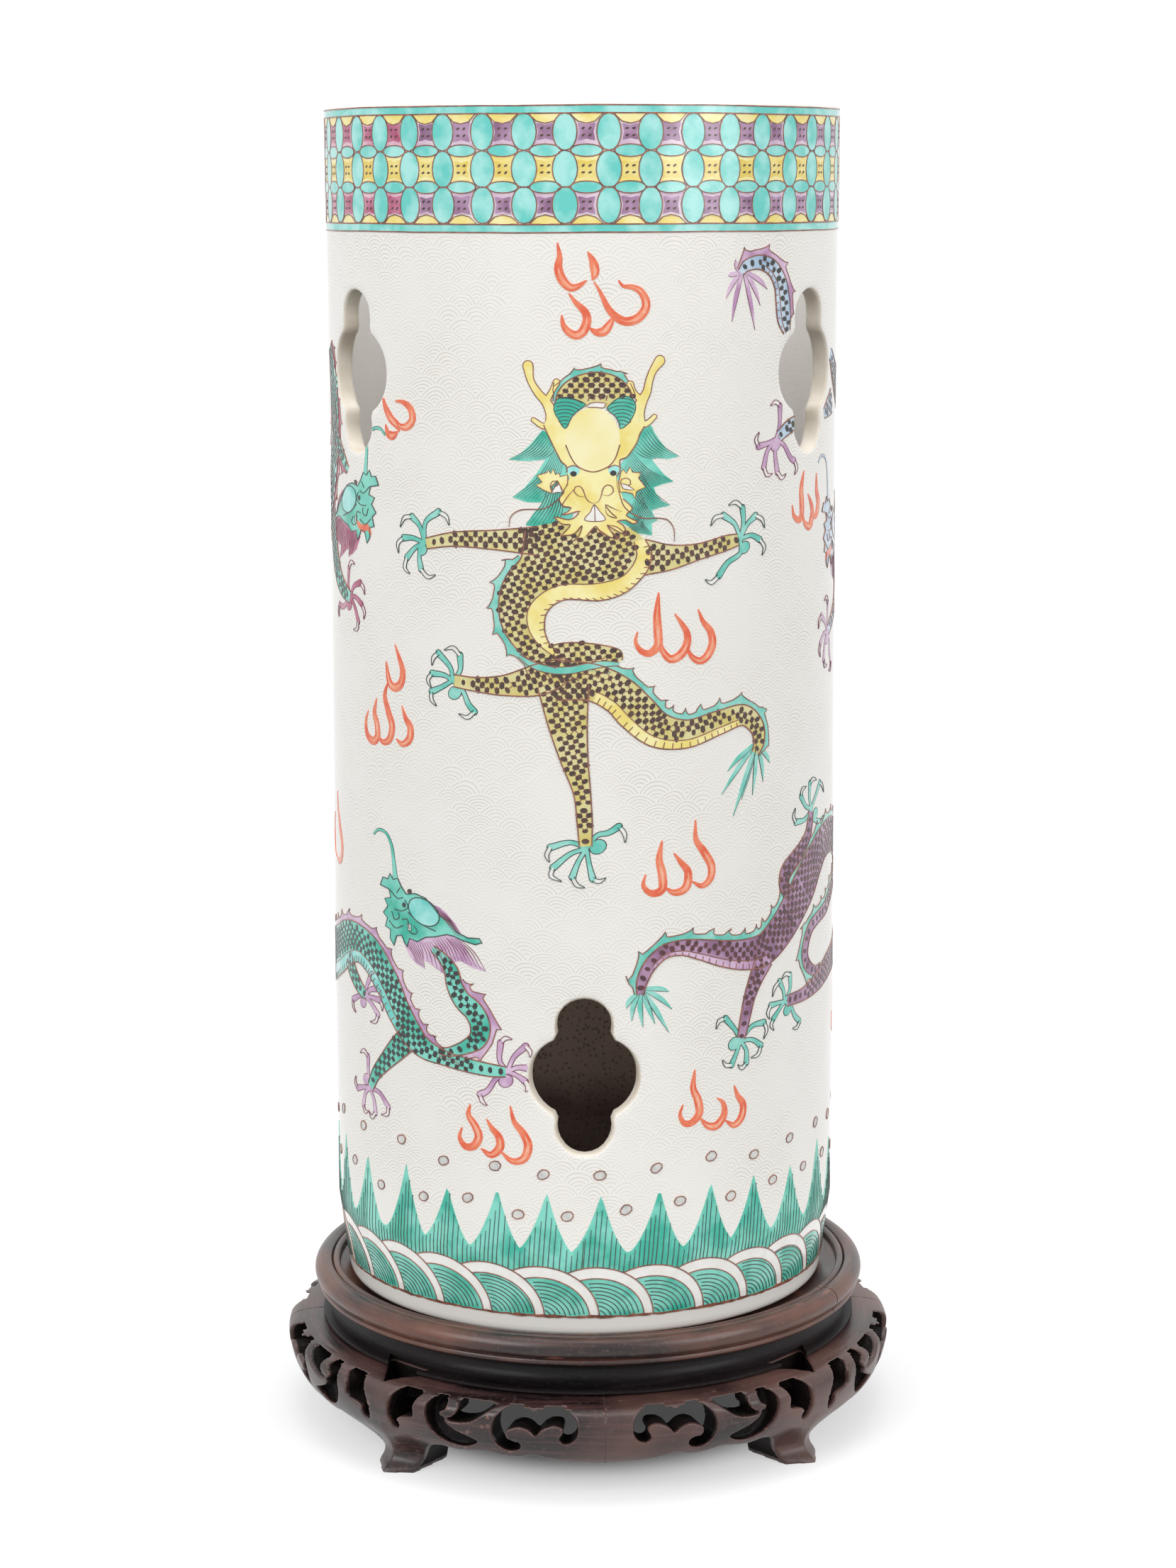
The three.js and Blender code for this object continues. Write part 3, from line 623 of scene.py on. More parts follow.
class Brush:
    """Draws flat shapes for one piece, shifted round the tube or up it, and mirrored if told."""

    def __init__(self, piece, around=0.0, up=0.0, mirror=1):
        self.piece = piece
        self.around = around
        self.up = up
        self.mirror = mirror

    def place(self, point):
        return (self.around + self.mirror * float(point[0]), self.up + float(point[1]))

    def order(self, face):
        return tuple(face) if self.mirror > 0 else tuple(reversed(face))

    def shape(self, enamel, outline, level="wash", edge=None, edge_width=0.28, smooth=False):
        """A filled outline, smoothed if asked, with a drawn line round it if an edge colour is given."""
        path = smooth_path(outline, 0.9, closed=True) if smooth else [np.array(p, float) for p in outline]
        area = sum(a[0] * b[1] - b[0] * a[1] for a, b in zip(path, path[1:] + path[:1]))
        if area < 0:
            path = path[::-1]
        ring = list(range(len(path)))
        paint(self.piece, enamel, level, [self.place(p) for p in path], [self.order(ring)], split=True)
        if edge:
            self.stroke(edge, path + path[:1], edge_width, level="line")

    def stroke(self, enamel, knots, width=0.3, level="line", smooth=False, taper=0.0, step=0.7):
        """A line of the brush. Knots may carry their own widths, and a taper thins both ends."""
        path = smooth_path(knots, step) if smooth else [np.array(p, float) for p in knots]
        sides = normals_along(path)
        points, faces = [], []
        for i, (p, n) in enumerate(zip(path, sides)):
            wide = float(p[2]) if len(p) > 2 else width
            share = i / max(1, len(path) - 1)
            if taper:
                wide *= min(1.0, 0.18 + min(share, 1 - share) / taper)
            half = max(wide, 0.07) / 2
            points += [self.place(p[:2] + n * half), self.place(p[:2] - n * half)]
        for i in range(len(path) - 1):
            faces.append(self.order((2 * i + 1, 2 * i + 3, 2 * i + 2, 2 * i)))
        paint(self.piece, enamel, level, points, faces)

    def dot(self, enamel, middle, size, level="dot", stretch=1.0, turn=0.0, corners=6):
        """A small spot of enamel, longer one way if stretched."""
        points = []
        for i in range(corners):
            t = 2 * math.pi * i / corners
            x, z = size * stretch * math.cos(t), size * math.sin(t)
            c, s = math.cos(turn), math.sin(turn)
            points.append(self.place((middle[0] + x * c - z * s, middle[1] + x * s + z * c)))
        paint(self.piece, enamel, level, points, [self.order(range(corners))])


print("drawing tools: levels in mm", LEVELS)

# %% [markdown]
# ## The border of linked rings
# Under the lip runs the old pattern of coins linked in rows. Upright and lying petals meet at their points
# and leave small four-pointed fields between them, rose or purple and yellow in turn, each with four
# strokes.

# %% Border
COLUMNS = 40
column_step = turn_length / COLUMNS
first_column = 6.0
HEART = [(-1.9, -1.9), (0, -1.5), (1.9, -1.9), (1.5, 0), (1.9, 1.9), (0, 1.5), (-1.9, 1.9), (-1.5, 0)]
petal_rows = [274.4, 266.4, 258.6]
lying_rows = [270.4, 262.5]
field_lows = [lying_rows[0] + 1.0, lying_rows[1] + 1.0, 256.4]
field_highs = [276.4, lying_rows[0] - 1.0, lying_rows[1] - 1.0]
border = Brush("border")
random.seed(7)


def petal(middle, half_wide, half_tall, lean=0.0):
    """A plump petal, nearly pointed at both ends."""
    outline = []
    for i in range(16):
        t = 2 * math.pi * i / 16
        x = math.copysign(abs(math.cos(t)) ** 0.9, math.cos(t)) * half_wide
        z = math.copysign(abs(math.sin(t)) ** 1.05, math.sin(t)) * half_tall
        outline.append((middle[0] + x + lean * z, middle[1] + z))
    return outline


def ring_line(enamel, middle_height, width, wander=0.0, level="line", steps=150):
    """A line right round the tube, whose height may wander a little."""
    ring = []
    for i in range(steps + 1):
        turn = 2 * math.pi * i / steps
        rise = wander * (math.sin(5 * turn) + 0.6 * math.sin(13 * turn + 1) + 0.3 * math.sin(31 * turn))
        ring.append((i * turn_length / steps, middle_height + rise / 2))
    border.stroke(enamel, ring, width, level=level)


ring_line("turquoise", 279.2, 1.6, 0.1, "wash")
ring_line("turquoise", 253.5, 1.5, 0.1, "wash")
for ring_height in (280.1, 278.4, 254.45, 252.7):
    ring_line("brown_line", ring_height, 0.3, 0.1)
for i in range(COLUMNS):
    middle = first_column + i * column_step + random.uniform(-0.3, 0.3)
    between = middle + column_step / 2
    rosy = math.cos(between / tube_radius + 1.57) > 0.59
    for height in petal_rows:
        outline = petal((middle, height), 2.75 + random.uniform(-0.1, 0.15), 4.0)
        border.shape("turquoise", outline, "over", "brown_line", 0.26)
    for height in lying_rows:
        outline = petal((between, height), 3.5, 1.35 + random.uniform(-0.1, 0.1))
        border.shape("turquoise", outline, "over", "brown_line", 0.26)
    for row, height in enumerate(petal_rows):
        field = "yellow" if row == 1 else "pale_rose" if rosy else "pale_purple"
        heart = "deep_yellow" if row == 1 else "rose" if rosy else "purple"
        low, high = field_lows[row], field_highs[row]
        outline = [(between - 3.0, low), (between, low + 0.25), (between + 3.0, low),
            (between + 2.1, height)]
        outline += [(between + 3.0, high), (between, high - 0.25), (between - 3.0, high),
            (between - 2.1, height)]
        border.shape(field, outline, "wash")
        reach = random.uniform(0.9, 1.15)
        inner = [(between + x * reach, height + z * reach) for x, z in HEART]
        border.shape(heart, inner, "fin_over", smooth=True)
        for dx in (-0.75, 0.75):
            for dz in (-0.75, 0.75):
                mark = (between + dx, height + dz)
                border.dot("dark_dot", mark, 0.24, "line", 1.9, 0.5 + random.uniform(-0.4, 0.4), corners=6)
    for edge_low, edge_high, belly in ((276.2, 278.4, 1), (254.5, 256.5, -1)):
        flat_edge = edge_high if belly > 0 else edge_low
        deep_edge = edge_low if belly > 0 else edge_high
        outline = [(between - 3.6, flat_edge), (between + 3.6, flat_edge)]
        outline += [(between + 1.9, deep_edge + 0.45 * belly), (between, deep_edge)]
        outline += [(between - 1.9, deep_edge + 0.45 * belly)]
        border.shape("yellow", outline, "wash", "brown_line", 0.24)
print("border:", COLUMNS, "columns,", round(column_step, 2), "mm apart")

# %% [markdown]
# ## The sea at the foot
# Round the foot roll waves as overlapping fans, each ruled with arcs, with a thick white crest. Over them
# rises standing water as a row of striped peaks, and small drops fly over that. Each fan is part of an
# ellipse that the fan on its left hides in part, so its arcs are drawn only where they show.

# %% Waves, peaks and drops
FANS = 29
fan_step = turn_length / FANS
first_fan = -49.0
FOOT = 2.9
sea = Brush("sea")
random.seed(11)
CREST = (14.1, 13.0)
WAVE = (11.8, 10.2)


def in_ellipse(point, fan_foot, size):
    """Whether a point is under the arc of the fan that starts at this foot."""
    x = (point[0] - fan_foot + 1.0) / size[0]
    z = (point[1] - FOOT) / size[1]
    return x * x + z * z < 1


def fan_arc(fan_foot, size, steps=40):
    """The arc of an ellipse over a fan, from its left end to its right foot."""
    points = []
    for i in range(steps + 1):
        t = math.pi * (1 - i / steps)
        points.append((fan_foot - 1.0 + size[0] * math.cos(t), FOOT + size[1] * math.sin(t)))
    return [p for p in points if p[1] > FOOT + 0.7]


for i in range(FANS):
    foot = first_fan + i * fan_step
    before = foot - fan_step
    crest = [p for p in fan_arc(foot, CREST) if not in_ellipse(p, before, CREST)]
    wave = [p for p in fan_arc(foot, WAVE) if not in_ellipse(p, before, CREST)]
    hidden_side = [p for p in fan_arc(before, CREST) if p[1] < wave[0][1] and p[0] > before]
    sea.shape("teal", wave + [(wave[-1][0], FOOT + 0.6), (hidden_side[-1][0], FOOT + 0.6)]
        + hidden_side[::-1], "wash")
    sea.shape("white", crest + wave[::-1], "fin")
    sea.stroke("brown_line", crest, 0.3)
    sea.stroke("brown_line", wave, 0.26)
    ring_size = 1.5
    while ring_size < 11.3:
        shape = (ring_size * 1.02, ring_size * 0.87)
        ruled = [p for p in fan_arc(foot, shape, 22) if not in_ellipse(p, before, CREST)]
        if len(ruled) > 2:
            sea.stroke("dark_line", ruled, 0.21)
        ring_size += random.uniform(1.0, 1.2)


def crest_height(across):
    """How high the white crests reach at a place round the foot."""
    heights = []
    for i in range(-1, 3):
        foot = first_fan + (math.floor((across - first_fan) / fan_step) + i) * fan_step
        x = (across - foot + 1.0) / CREST[0]
        if abs(x) < 1:
            heights.append(FOOT + CREST[1] * math.sqrt(1 - x * x))
    return max(heights) if heights else FOOT + 1


peak_places = [-76, -61.5, -46, -33.5, -20.5, -8.7, 3.8, 17.5, 30.5, 43, 56.5, 71]
peak_heights = [36, 35, 36.2, 33, 34.2, 34, 33.5, 34.2, 34.2, 34, 33.4, 36.5]
spare = FANS - len(peak_places)
gap_left = turn_length - (peak_places[-1] - peak_places[0])
for i in range(spare):
    peak_places.append(71 + gap_left * (i + 1) / (spare + 1) + random.uniform(-0.8, 0.8))
    peak_heights.append(random.uniform(33, 36.5))


def water_height(across):
    """The upper edge of the standing water: steep peaks with hollow sides."""
    best = 19.2
    for place, high in zip(peak_places, peak_heights):
        away = (across - place + turn_length / 2) % turn_length - turn_length / 2
        share = abs(away + 0.6 * max(0, -away) * 0.3) / 6.6
        if share < 1:
            best = max(best, 19.2 + (high - 19.2) * (1 - share) ** 1.75)
    return best


water = []
steps = 620
for i in range(steps + 1):
    across = i * turn_length / steps
    water.append((across, crest_height(across) + 0.12,
            max(water_height(across), crest_height(across) + 1.2)))
points = [(x, low) for x, low, high in water] + [(x, high) for x, low, high in water]
faces = [(i, i + 1, steps + 2 + i, steps + 1 + i) for i in range(steps)]
paint("sea", "teal", "wash", points, faces)
across = 0.0
while across < turn_length:
    low = crest_height(across) + 0.1
    high = water_height(across)
    lean = 0.05 * (high - low)
    tall = low + (high - low) * random.uniform(0.78, 1.0)
    if tall - low > 1.0:
        sea.stroke("dark_line", [(across - lean, low, 0.22), (across + lean * 0.4, tall, 0.13)])
    across += random.uniform(1.0, 1.35)
ring = []
for i in range(301):
    wobble = random.uniform(-0.12, 0.12)
    ring.append((i * turn_length / 300, FOOT + 0.55 + wobble, random.uniform(0.3, 0.85)))
sea.stroke("brown_line", ring)

drops = [(-78, 42), (-63.5, 41.5), (-47.5, 41.8), (-34.5, 39), (-21, 39.5), (-9.5, 38.2), (3.5, 38.2)]
drops += [(16.7, 39.3), (30.5, 40.5), (43, 38.8), (56, 40), (69.5, 40.5), (-69, 31.5), (-55.5, 28.8)]
drops += [(-40.5, 29.2), (-28, 31), (-15.5, 28.3), (-4, 28.4), (9.5, 29.7), (22.5, 30.8), (36, 30)]
drops += [(49.5, 31.2), (62.5, 31.4), (75, 31.5)]
for i in range(17):
    drops.append((82 + i * 13.1 + random.uniform(-1, 1), 40 + random.uniform(-1, 1)))
    drops.append((88 + i * 13.1 + random.uniform(-1, 1), 30.5 + random.uniform(-1, 1)))
for middle in drops:
    turn = random.uniform(0.1, 0.6)
    outline = []
    for i in range(9):
        t = 2 * math.pi * i / 9
        x, z = 1.45 * math.cos(t), 1.1 * math.sin(t) * random.uniform(0.9, 1.1)
        outline.append((middle[0] + x * math.cos(turn) - z * math.sin(turn),
                middle[1] + x * math.sin(turn) + z * math.cos(turn)))
    sea.shape("pale_grey", outline, "wash", "brown_line", 0.24, smooth=True)
print("sea:", FANS, "fans,", len(peak_places), "peaks,", len(drops), "drops")

# %% [markdown]
# ## Flame wisps
# Between the dragons float small flames in iron red, each two or three curled strokes of one loaded brush,
# pointed at the tip and round in the belly.

# %% Flames
flames = [[(-5.5, 250.5), (-5, 247.5), (-5.3, 245), (-4.5, 242.5), (-2.8, 240.8), (-1, 241), (1, 242.3)],
    [(1.2, 248.5), (2.3, 246.5), (2.8, 244), (2.2, 242.3)],
    [(2.5, 242), (3.8, 240), (5.5, 236.5), (7.2, 234.5), (9.5, 233.3), (12, 233.8), (13.8, 235.5),
        (14.2, 237.5), (13, 239.8), (11, 240.8), (9, 241), (8, 242.3)],
    [(-3, 239.5), (-1.5, 237.5), (0.5, 235.5), (1, 233.5), (0, 231), (-1.5, 230.3), (-3, 231),
        (-4.2, 232.5), (-4.6, 234.8)], [(1.5, 232), (3, 231), (4.8, 231.2), (6.2, 233), (7, 234.5)],
    [(12.3, 164.3), (11.8, 162), (13, 160), (15, 159.3), (17, 161), (17, 164), (16.8, 168), (17.2, 173)],
    [(21, 168), (22.5, 166), (24, 163.5), (24, 161), (22.5, 158.7), (20, 157.8), (18, 160), (17.5, 163)],
    [(26.8, 168.8), (28, 166), (30, 163.5), (30.5, 160.5), (29, 157.8), (27, 157), (25, 158.3),
        (24, 160.5)], [(-51.7, 216), (-50.8, 213.5), (-49, 211), (-47, 209.5), (-46, 208)],
    [(-47.3, 214.8), (-45, 214.8), (-42.5, 213.5), (-41.8, 211), (-43.5, 209.3), (-45.8, 209.3),
        (-47.5, 211)], [(-50.8, 209.5), (-50, 207.5), (-48.3, 207), (-46.5, 208)],
    [(55.8, 190.5), (56.5, 188), (58.5, 186.8), (60, 188), (60, 191), (59.8, 194), (61, 198)],
    [(63, 192.5), (64.5, 190.5), (65.5, 188), (64, 185), (61.5, 185.8), (60.5, 188)],
    [(67.8, 197), (68, 193), (69, 190), (68, 187.5), (66.5, 187), (65.3, 188.5)],
    [(-48.2, 159.3), (-47, 156.8), (-45.6, 153.3), (-46.3, 150.3), (-48.5, 149.2), (-50.3, 150.5),
        (-51.4, 155)], [(-50.6, 150.6), (-52, 147), (-50.8, 143.5), (-49.4, 140), (-50.5, 136.8),
        (-53, 136), (-55, 137.5)], [(-58.8, 142.7), (-60, 140), (-59.5, 137), (-57, 135.7), (-55, 137),
        (-55.2, 140), (-56.2, 142.5), (-55.2, 146)],
    [(-46, 145.3), (-44.8, 142.5), (-43.3, 140.5), (-43.6, 137.7), (-46, 136.3), (-48, 137.3)],
    [(14.1, 108.7), (13.6, 106), (15.5, 104.2), (18, 105), (18, 108.5), (17.3, 112), (18, 116.3)],
    [(20.8, 113.2), (22.5, 111), (24.3, 108.5), (23.8, 105), (21, 104), (18.8, 105.3)],
    [(26.2, 120.5), (26.3, 116), (28.3, 113), (30.3, 109.5), (30, 106.5), (27.8, 105), (25.3, 106.3)],
    [(23.2, 53.8), (22.4, 51.5), (23.5, 49.3), (25.5, 49.3), (27.3, 51.3), (26.9, 54.5), (25.7, 57.5),
        (26.1, 61.8)], [(32, 54.3), (33.7, 52.8), (34, 50), (32, 47.7), (29.5, 48), (27.6, 50)],
    [(36.8, 56.6), (37.8, 54), (39.5, 51.5), (39, 48.5), (36.8, 47), (34.4, 48.5)],
    [(-29.3, 47.8), (-30, 45.3), (-28.5, 43.3), (-26.3, 43.7), (-25, 46), (-25.9, 48.5), (-27.6, 51),
        (-27.1, 53.6)], [(-23, 50.5), (-21.6, 48.3), (-20, 46.5), (-19.8, 44), (-22, 42), (-24.5, 43.3)],
    [(-17.2, 54.2), (-16.3, 50.5), (-14.3, 48), (-13, 45), (-14, 41.8), (-16.8, 41), (-19.5, 43)],
    [(-80.8, 120), (-80.3, 116), (-78, 111.5), (-76, 107.5), (-77, 104.3), (-80, 103), (-83.5, 104)],
    [(-86, 114), (-87.5, 110), (-86.5, 105.5), (-84, 103.5)]]
# The same wisps, in groups, fill the gaps on the side of the tube that the photograph doesn't show.
groups = {"tall": flames[0:5], "triple": flames[5:8], "pair": flames[14:18], "low": flames[18:21]}
far_side = [("tall", 222, -1, -3), ("triple", 222, 1, -52), ("pair", 150, -1, 54), ("low", 165, 1, -8)]
far_side += [("low", 212, -1, 0), ("pair", 226, 1, 50), ("triple", 262, -1, 60), ("low", 118, 1, 134)]
far_side += [("low", 150, -1, -58), ("triple", 98, 1, -101)]
wisps = Brush("flame_wisps")
belly_width = 2.05


def wisp(brush, stroke):
    """One stroke of flame: pointed at both ends, widest past the middle, and paler along its core."""
    path = smooth_path(stroke, 0.7)
    count = len(path)
    shaped, core = [], []
    for i, p in enumerate(path):
        bend = (i / (count - 1)) ** 1.15
        wide = belly_width * (0.14 + 0.86 * math.sin(math.pi * bend) ** 0.8)
        shaped.append((p[0], p[1], wide))
        if 0.3 < bend < 0.9:
            core.append((p[0], p[1], wide * 0.42 * math.sin(math.pi * (bend - 0.3) / 0.6)))
    brush.stroke("coral", shaped, level="wash")
    brush.stroke("pale_coral", core, level="over")


for stroke in flames:
    wisp(wisps, stroke)
for group, around, mirror, up in far_side:
    strokes = groups[group]
    middle = sum(p[0] for s in strokes for p in s) / sum(len(s) for s in strokes)
    brush = Brush("flame_wisps", around - mirror * middle, up, mirror)
    for stroke in strokes:
        wisp(brush, stroke)
print("flames:", len(flames), "strokes in front,", len(far_side), "groups behind")

# %% [markdown]
# ## How a dragon is put together
# Each dragon is built from the same few marks: a scaled body or limb that follows a path of changing width,
# with spots in a net of fine lines; a ribbed belly on one side and a hooked fin on the other; claws whose
# toes end in pale talons; and a mane ruled with lines. One function draws each mark.

# %% Dragon marks
DOT_ACROSS = 2.3
DOT_ALONG = 1.22


def edge_of(path, sides, share):
    """A line along a path, at a share of its half width: 1 is the left edge and -1 the right one."""
    return [p[:2] + n * p[2] / 2 * share for p, n in zip(path, sides)]


def outlined(brush, enamel, line, knots, level="wash", rim=0.5, line_level="under", tip=False):
    """A tapering stroke with the drawn line showing on both sides of it, and round its tip if wanted."""
    wider = [(k[0], k[1], k[2] + rim) for k in knots]
    brush.stroke(line, wider, level=line_level, smooth=True)
    brush.stroke(enamel, knots, level=level, smooth=True)
    if tip:
        end = knots[-1]
        brush.dot(line, end[:2], (end[2] + rim) / 2, line_level, 1.0, 0.0, corners=12)
        brush.dot(enamel, end[:2], end[2] / 2, level, 1.0, 0.0, corners=12)


def ruled(brush, line, start, stop, bow=0.0, count=6, width=0.17):
    """Fine lines side by side, from one short edge to another, that bow to the left of their way."""
    for i in range(count):
        share = i / max(1, count - 1)
        a = np.array(start[0], float) * (1 - share) + np.array(start[1], float) * share
        b = np.array(stop[0], float) * (1 - share) + np.array(stop[1], float) * share
        way = b - a
        middle = (a + b) / 2 + np.array([-way[1], way[0]]) * bow
        brush.stroke(line, [a, middle, b], width, "fin_over", taper=0.5, smooth=True)


def spots(brush, enamel, line, places):
    """Spots joined to their neighbours in the next row. Places are rows of (point, direction)."""
    for row, after in zip(places, places[1:] + [[]]):
        for middle, turn in row:
            size = 0.59 * random.uniform(0.85, 1.15)
            brush.dot(enamel, middle, size, "dot", 1.4, turn + random.uniform(-0.4, 0.4), corners=6)
            for other, _ in after:
                if 0.5 < math.dist(middle, other) < 2.1:
                    brush.stroke(line, [middle, other], 0.19, level="over")


def scaled_limb(brush, colours, knots, belly=0, belly_from=0.0, belly_to=1.0, fin=0, fin_from=0.0,
        fin_to=1.0):
    """A scaled body or limb. Belly and fin are 1 for the left side of its path, -1 for the right, or 0."""
    path = smooth_path(knots, 0.6)
    sides = normals_along(path)
    count = len(path)
    left, right = edge_of(path, sides, 1), edge_of(path, sides, -1)
    brush.shape(colours["ground"], left + right[::-1], "wash")
    for edge in (left, right):
        brush.stroke(colours["line"], edge, 0.3)
    length = sum(math.dist(a[:2], b[:2]) for a, b in zip(path, path[1:]))
    reach, places, row, walked = 0.6, [], 0, 0.0
    for i in range(count - 1):
        walked += math.dist(path[i][:2], path[i + 1][:2])
        if walked < reach:
            continue
        reach += DOT_ALONG
        share = walked / length
        half = path[i][2] / 2
        low, high = -half + 0.45, half - 0.45
        if belly and belly_from < share < belly_to:
            low, high = (low, half * 0.36) if belly > 0 else (-half * 0.36, high)
        turn = math.atan2(sides[i][1], sides[i][0])
        found = []
        offset = 0 if row % 2 else DOT_ACROSS / 2
        for k in range(-6, 7):
            aside = k * DOT_ACROSS + offset
            if low <= aside <= high:
                found.append((tuple(path[i][:2] + sides[i] * aside), turn))
        places.append(found)
        row += 1
    spots(brush, colours["dot"], colours["net"], places)
    if belly:
        a, b = int(belly_from * (count - 1)), int(belly_to * (count - 1)) + 1
        outer = edge_of(path, sides, belly * 0.98)[a:b]
        inner = edge_of(path, sides, belly * 0.42)[a:b]
        brush.shape(colours["belly"], outer + inner[::-1], "over")
        brush.stroke(colours["line"], inner, 0.22)
        for i in range(a + 2, b - 1, 3):
            rib = path[i][:2] + sides[i] * path[i][2] / 2 * belly
            brush.stroke(colours["line"], [rib, rib - sides[i] * belly * min(1.5, path[i][2] * 0.2)], 0.2)
    if fin:
        hooked_fin(brush, colours, path, sides, fin, fin_from, fin_to)


def hooked_fin(brush, colours, path, sides, side, start=0.0, stop=1.0, wide=1.25):
    """A fin along one side of a body: a narrow band with a hooked spike every few millimetres."""
    spike = [(0, 1.0), (1.2, 1.1), (2.1, 1.6), (2.9, 2.2), (2.75, 1.7), (3.1, 1.25), (3.8, 1.0)]
    walks = [0.0]
    for a, b in zip(path, path[1:]):
        walks.append(walks[-1] + math.dist(a[:2], b[:2]))
    first, last = walks[-1] * start, walks[-1] * stop
    outer, here = [], first
    while here < last:
        for along, rise in spike:
            at = min(here + along, last)
            fade = min(1.0, 0.25 + (last - at) / 6, 0.4 + (at - first) / 5)
            i = min(int(np.searchsorted(walks, at)), len(path) - 1)
            outer.append(path[i][:2] + sides[i] * side * (path[i][2] / 2 + wide * rise * fade))
        here += 5.0
    kept = [i for i, w in enumerate(walks) if first <= w <= last]
    inner = [path[i][:2] + sides[i] * side * (path[i][2] / 2 - 0.25) for i in kept]
    brush.shape(colours["fin"], outer + inner[::-1], "fin")
    brush.stroke(colours["line"], outer, 0.24, level="over")


def claw(brush, colours, wrist, toes, palm=None, wide=1.3):
    """A claw: toes that bow and swell towards a round tip. A toe's last two points are its hooked talon."""
    line = colours["claw_line"]
    for toe in toes:
        first, knuckle, talon = np.array(toe[0], float), np.array(toe[-3], float), toe[-2:]
        way = knuckle - np.array(wrist, float)
        hook = np.array(talon[-1], float) - knuckle
        bow = -0.1 if way[0] * hook[1] - way[1] * hook[0] > 0 else 0.1
        middle = first + np.array([-way[1], way[0]]) * bow
        bones = [wrist, middle] + [np.array(p, float) for p in toe[1:-3]] + [knuckle]
        widths = [wide * 0.6, wide * 0.66] + [wide * 0.8] * (len(bones) - 3) + [wide * 1.02]
        outlined(brush, colours["claw"], line, [(p[0], p[1], w) for p, w in zip(bones, widths)], "fin",
            0.44, tip=True)
        nail = smooth_path([(knuckle[0], knuckle[1], 0.85), (*talon[0], 0.95), (*talon[1], 0.12)], 0.6)
        brush.stroke("white", nail, level="fin")
        sides = normals_along(nail)
        for side in (-1, 1):
            brush.stroke(line, edge_of(nail, sides, side), 0.17)
    if palm:
        brush.dot(line, palm[:2], palm[2] * 0.72 + 0.2, "under", 1.25, 0.5, corners=14)
        brush.dot(colours["claw"], palm[:2], palm[2] * 0.72, "wash", 1.25, 0.5, corners=14)


def tuft(brush, colours, root, tips):
    """Loose hairs that fan out from the end of a tail, each bowed outwards and thinning to a point."""
    root = np.array(root, float)
    mean = np.mean([np.array(tip, float) - root for tip in tips], axis=0)
    across = np.array([-mean[1], mean[0]]) / np.linalg.norm(mean)
    for tip in tips:
        way = np.array(tip, float) - root
        aside = float(np.dot(way, across)) / float(np.linalg.norm(way))
        start = root + across * aside * 1.3
        middle = root + way * 0.5 + across * aside * 1.5
        path = smooth_path([(*start, 0.9), (*middle, 1.15), (*tip, 0.1)], 0.6)
        brush.stroke(colours["fin"], path, level="fin")
        edge = edge_of(path, normals_along(path), 1 if aside < 0 else -1)
        brush.stroke(colours["claw_line"], edge, 0.13, "over", taper=0.5)


def spotted_patch(brush, colours, outline, bare=(), turn=0.0):
    """A scaled area inside an outline, with no spots in the bare areas."""
    path = smooth_path(outline, 0.9, closed=True)
    brush.shape(colours["ground"], path, "wash")
    cos, sin = math.cos(turn), math.sin(turn)
    places = []
    for row in range(-40, 41):
        found = []
        for k in range(-20, 21):
            x = k * DOT_ACROSS + (DOT_ACROSS / 2 if row % 2 else 0)
            z = row * DOT_ALONG
            middle = (path[0][0] + x * cos - z * sin, path[0][1] + x * sin + z * cos)
            if within(middle, path) and not any(within(middle, b) for b in bare):
                found.append((middle, turn))
        places.append(found)
    spots(brush, colours["dot"], colours["net"], places)


def within(point, outline):
    """Whether a point lies inside a closed outline."""
    inside = False
    for a, b in zip(outline, list(outline[1:]) + [outline[0]]):
        if (a[1] > point[1]) != (b[1] > point[1]):
            if point[0] < a[0] + (point[1] - a[1]) * (b[0] - a[0]) / (b[1] - a[1]):
                inside = not inside
    return inside


def palette(ground, belly, fin, dot, net, claw_line, head, hair):
    """The enamels of one dragon. Its outline is brown, and its claws are like its fin."""
    colours = {"ground": ground, "belly": belly, "fin": fin, "claw": fin, "dot": dot, "net": net}
    colours.update({"line": "brown_line", "claw_line": claw_line, "head": head, "hair": hair})
    return colours


gold = palette("olive", "yellow", "fin_green", "dark_dot", "brown_line", "dark_line", "yellow", "teal")
green = palette("teal", "turquoise", "lilac", "black_dot", "dark_line", "plum_line", "teal", "lilac")
plum = palette("purple", "lilac", "fin_green", "wine_dot", "brown_line", "dark_line", "lilac", "teal")
sky = palette("pale_blue", "pale_blue", "lilac", "black_dot", "brown_line", "plum_line", "pale_blue",
    "lilac")
leaf = palette("teal", "turquoise", "rose", "black_dot", "dark_line", "plum_line", "teal", "rose")
blush = palette("rose", "yellow", "teal", "wine_dot", "brown_line", "dark_line", "rose", "teal")
print("dragon palettes: 6")

# %% [markdown]
# ## The facing dragon
# The chief dragon looks straight out: a yellow face with a bulging brow, brown-spotted scales on olive, a
# yellow ribbed belly that winds over the body, a turquoise fin and a tail tuft.


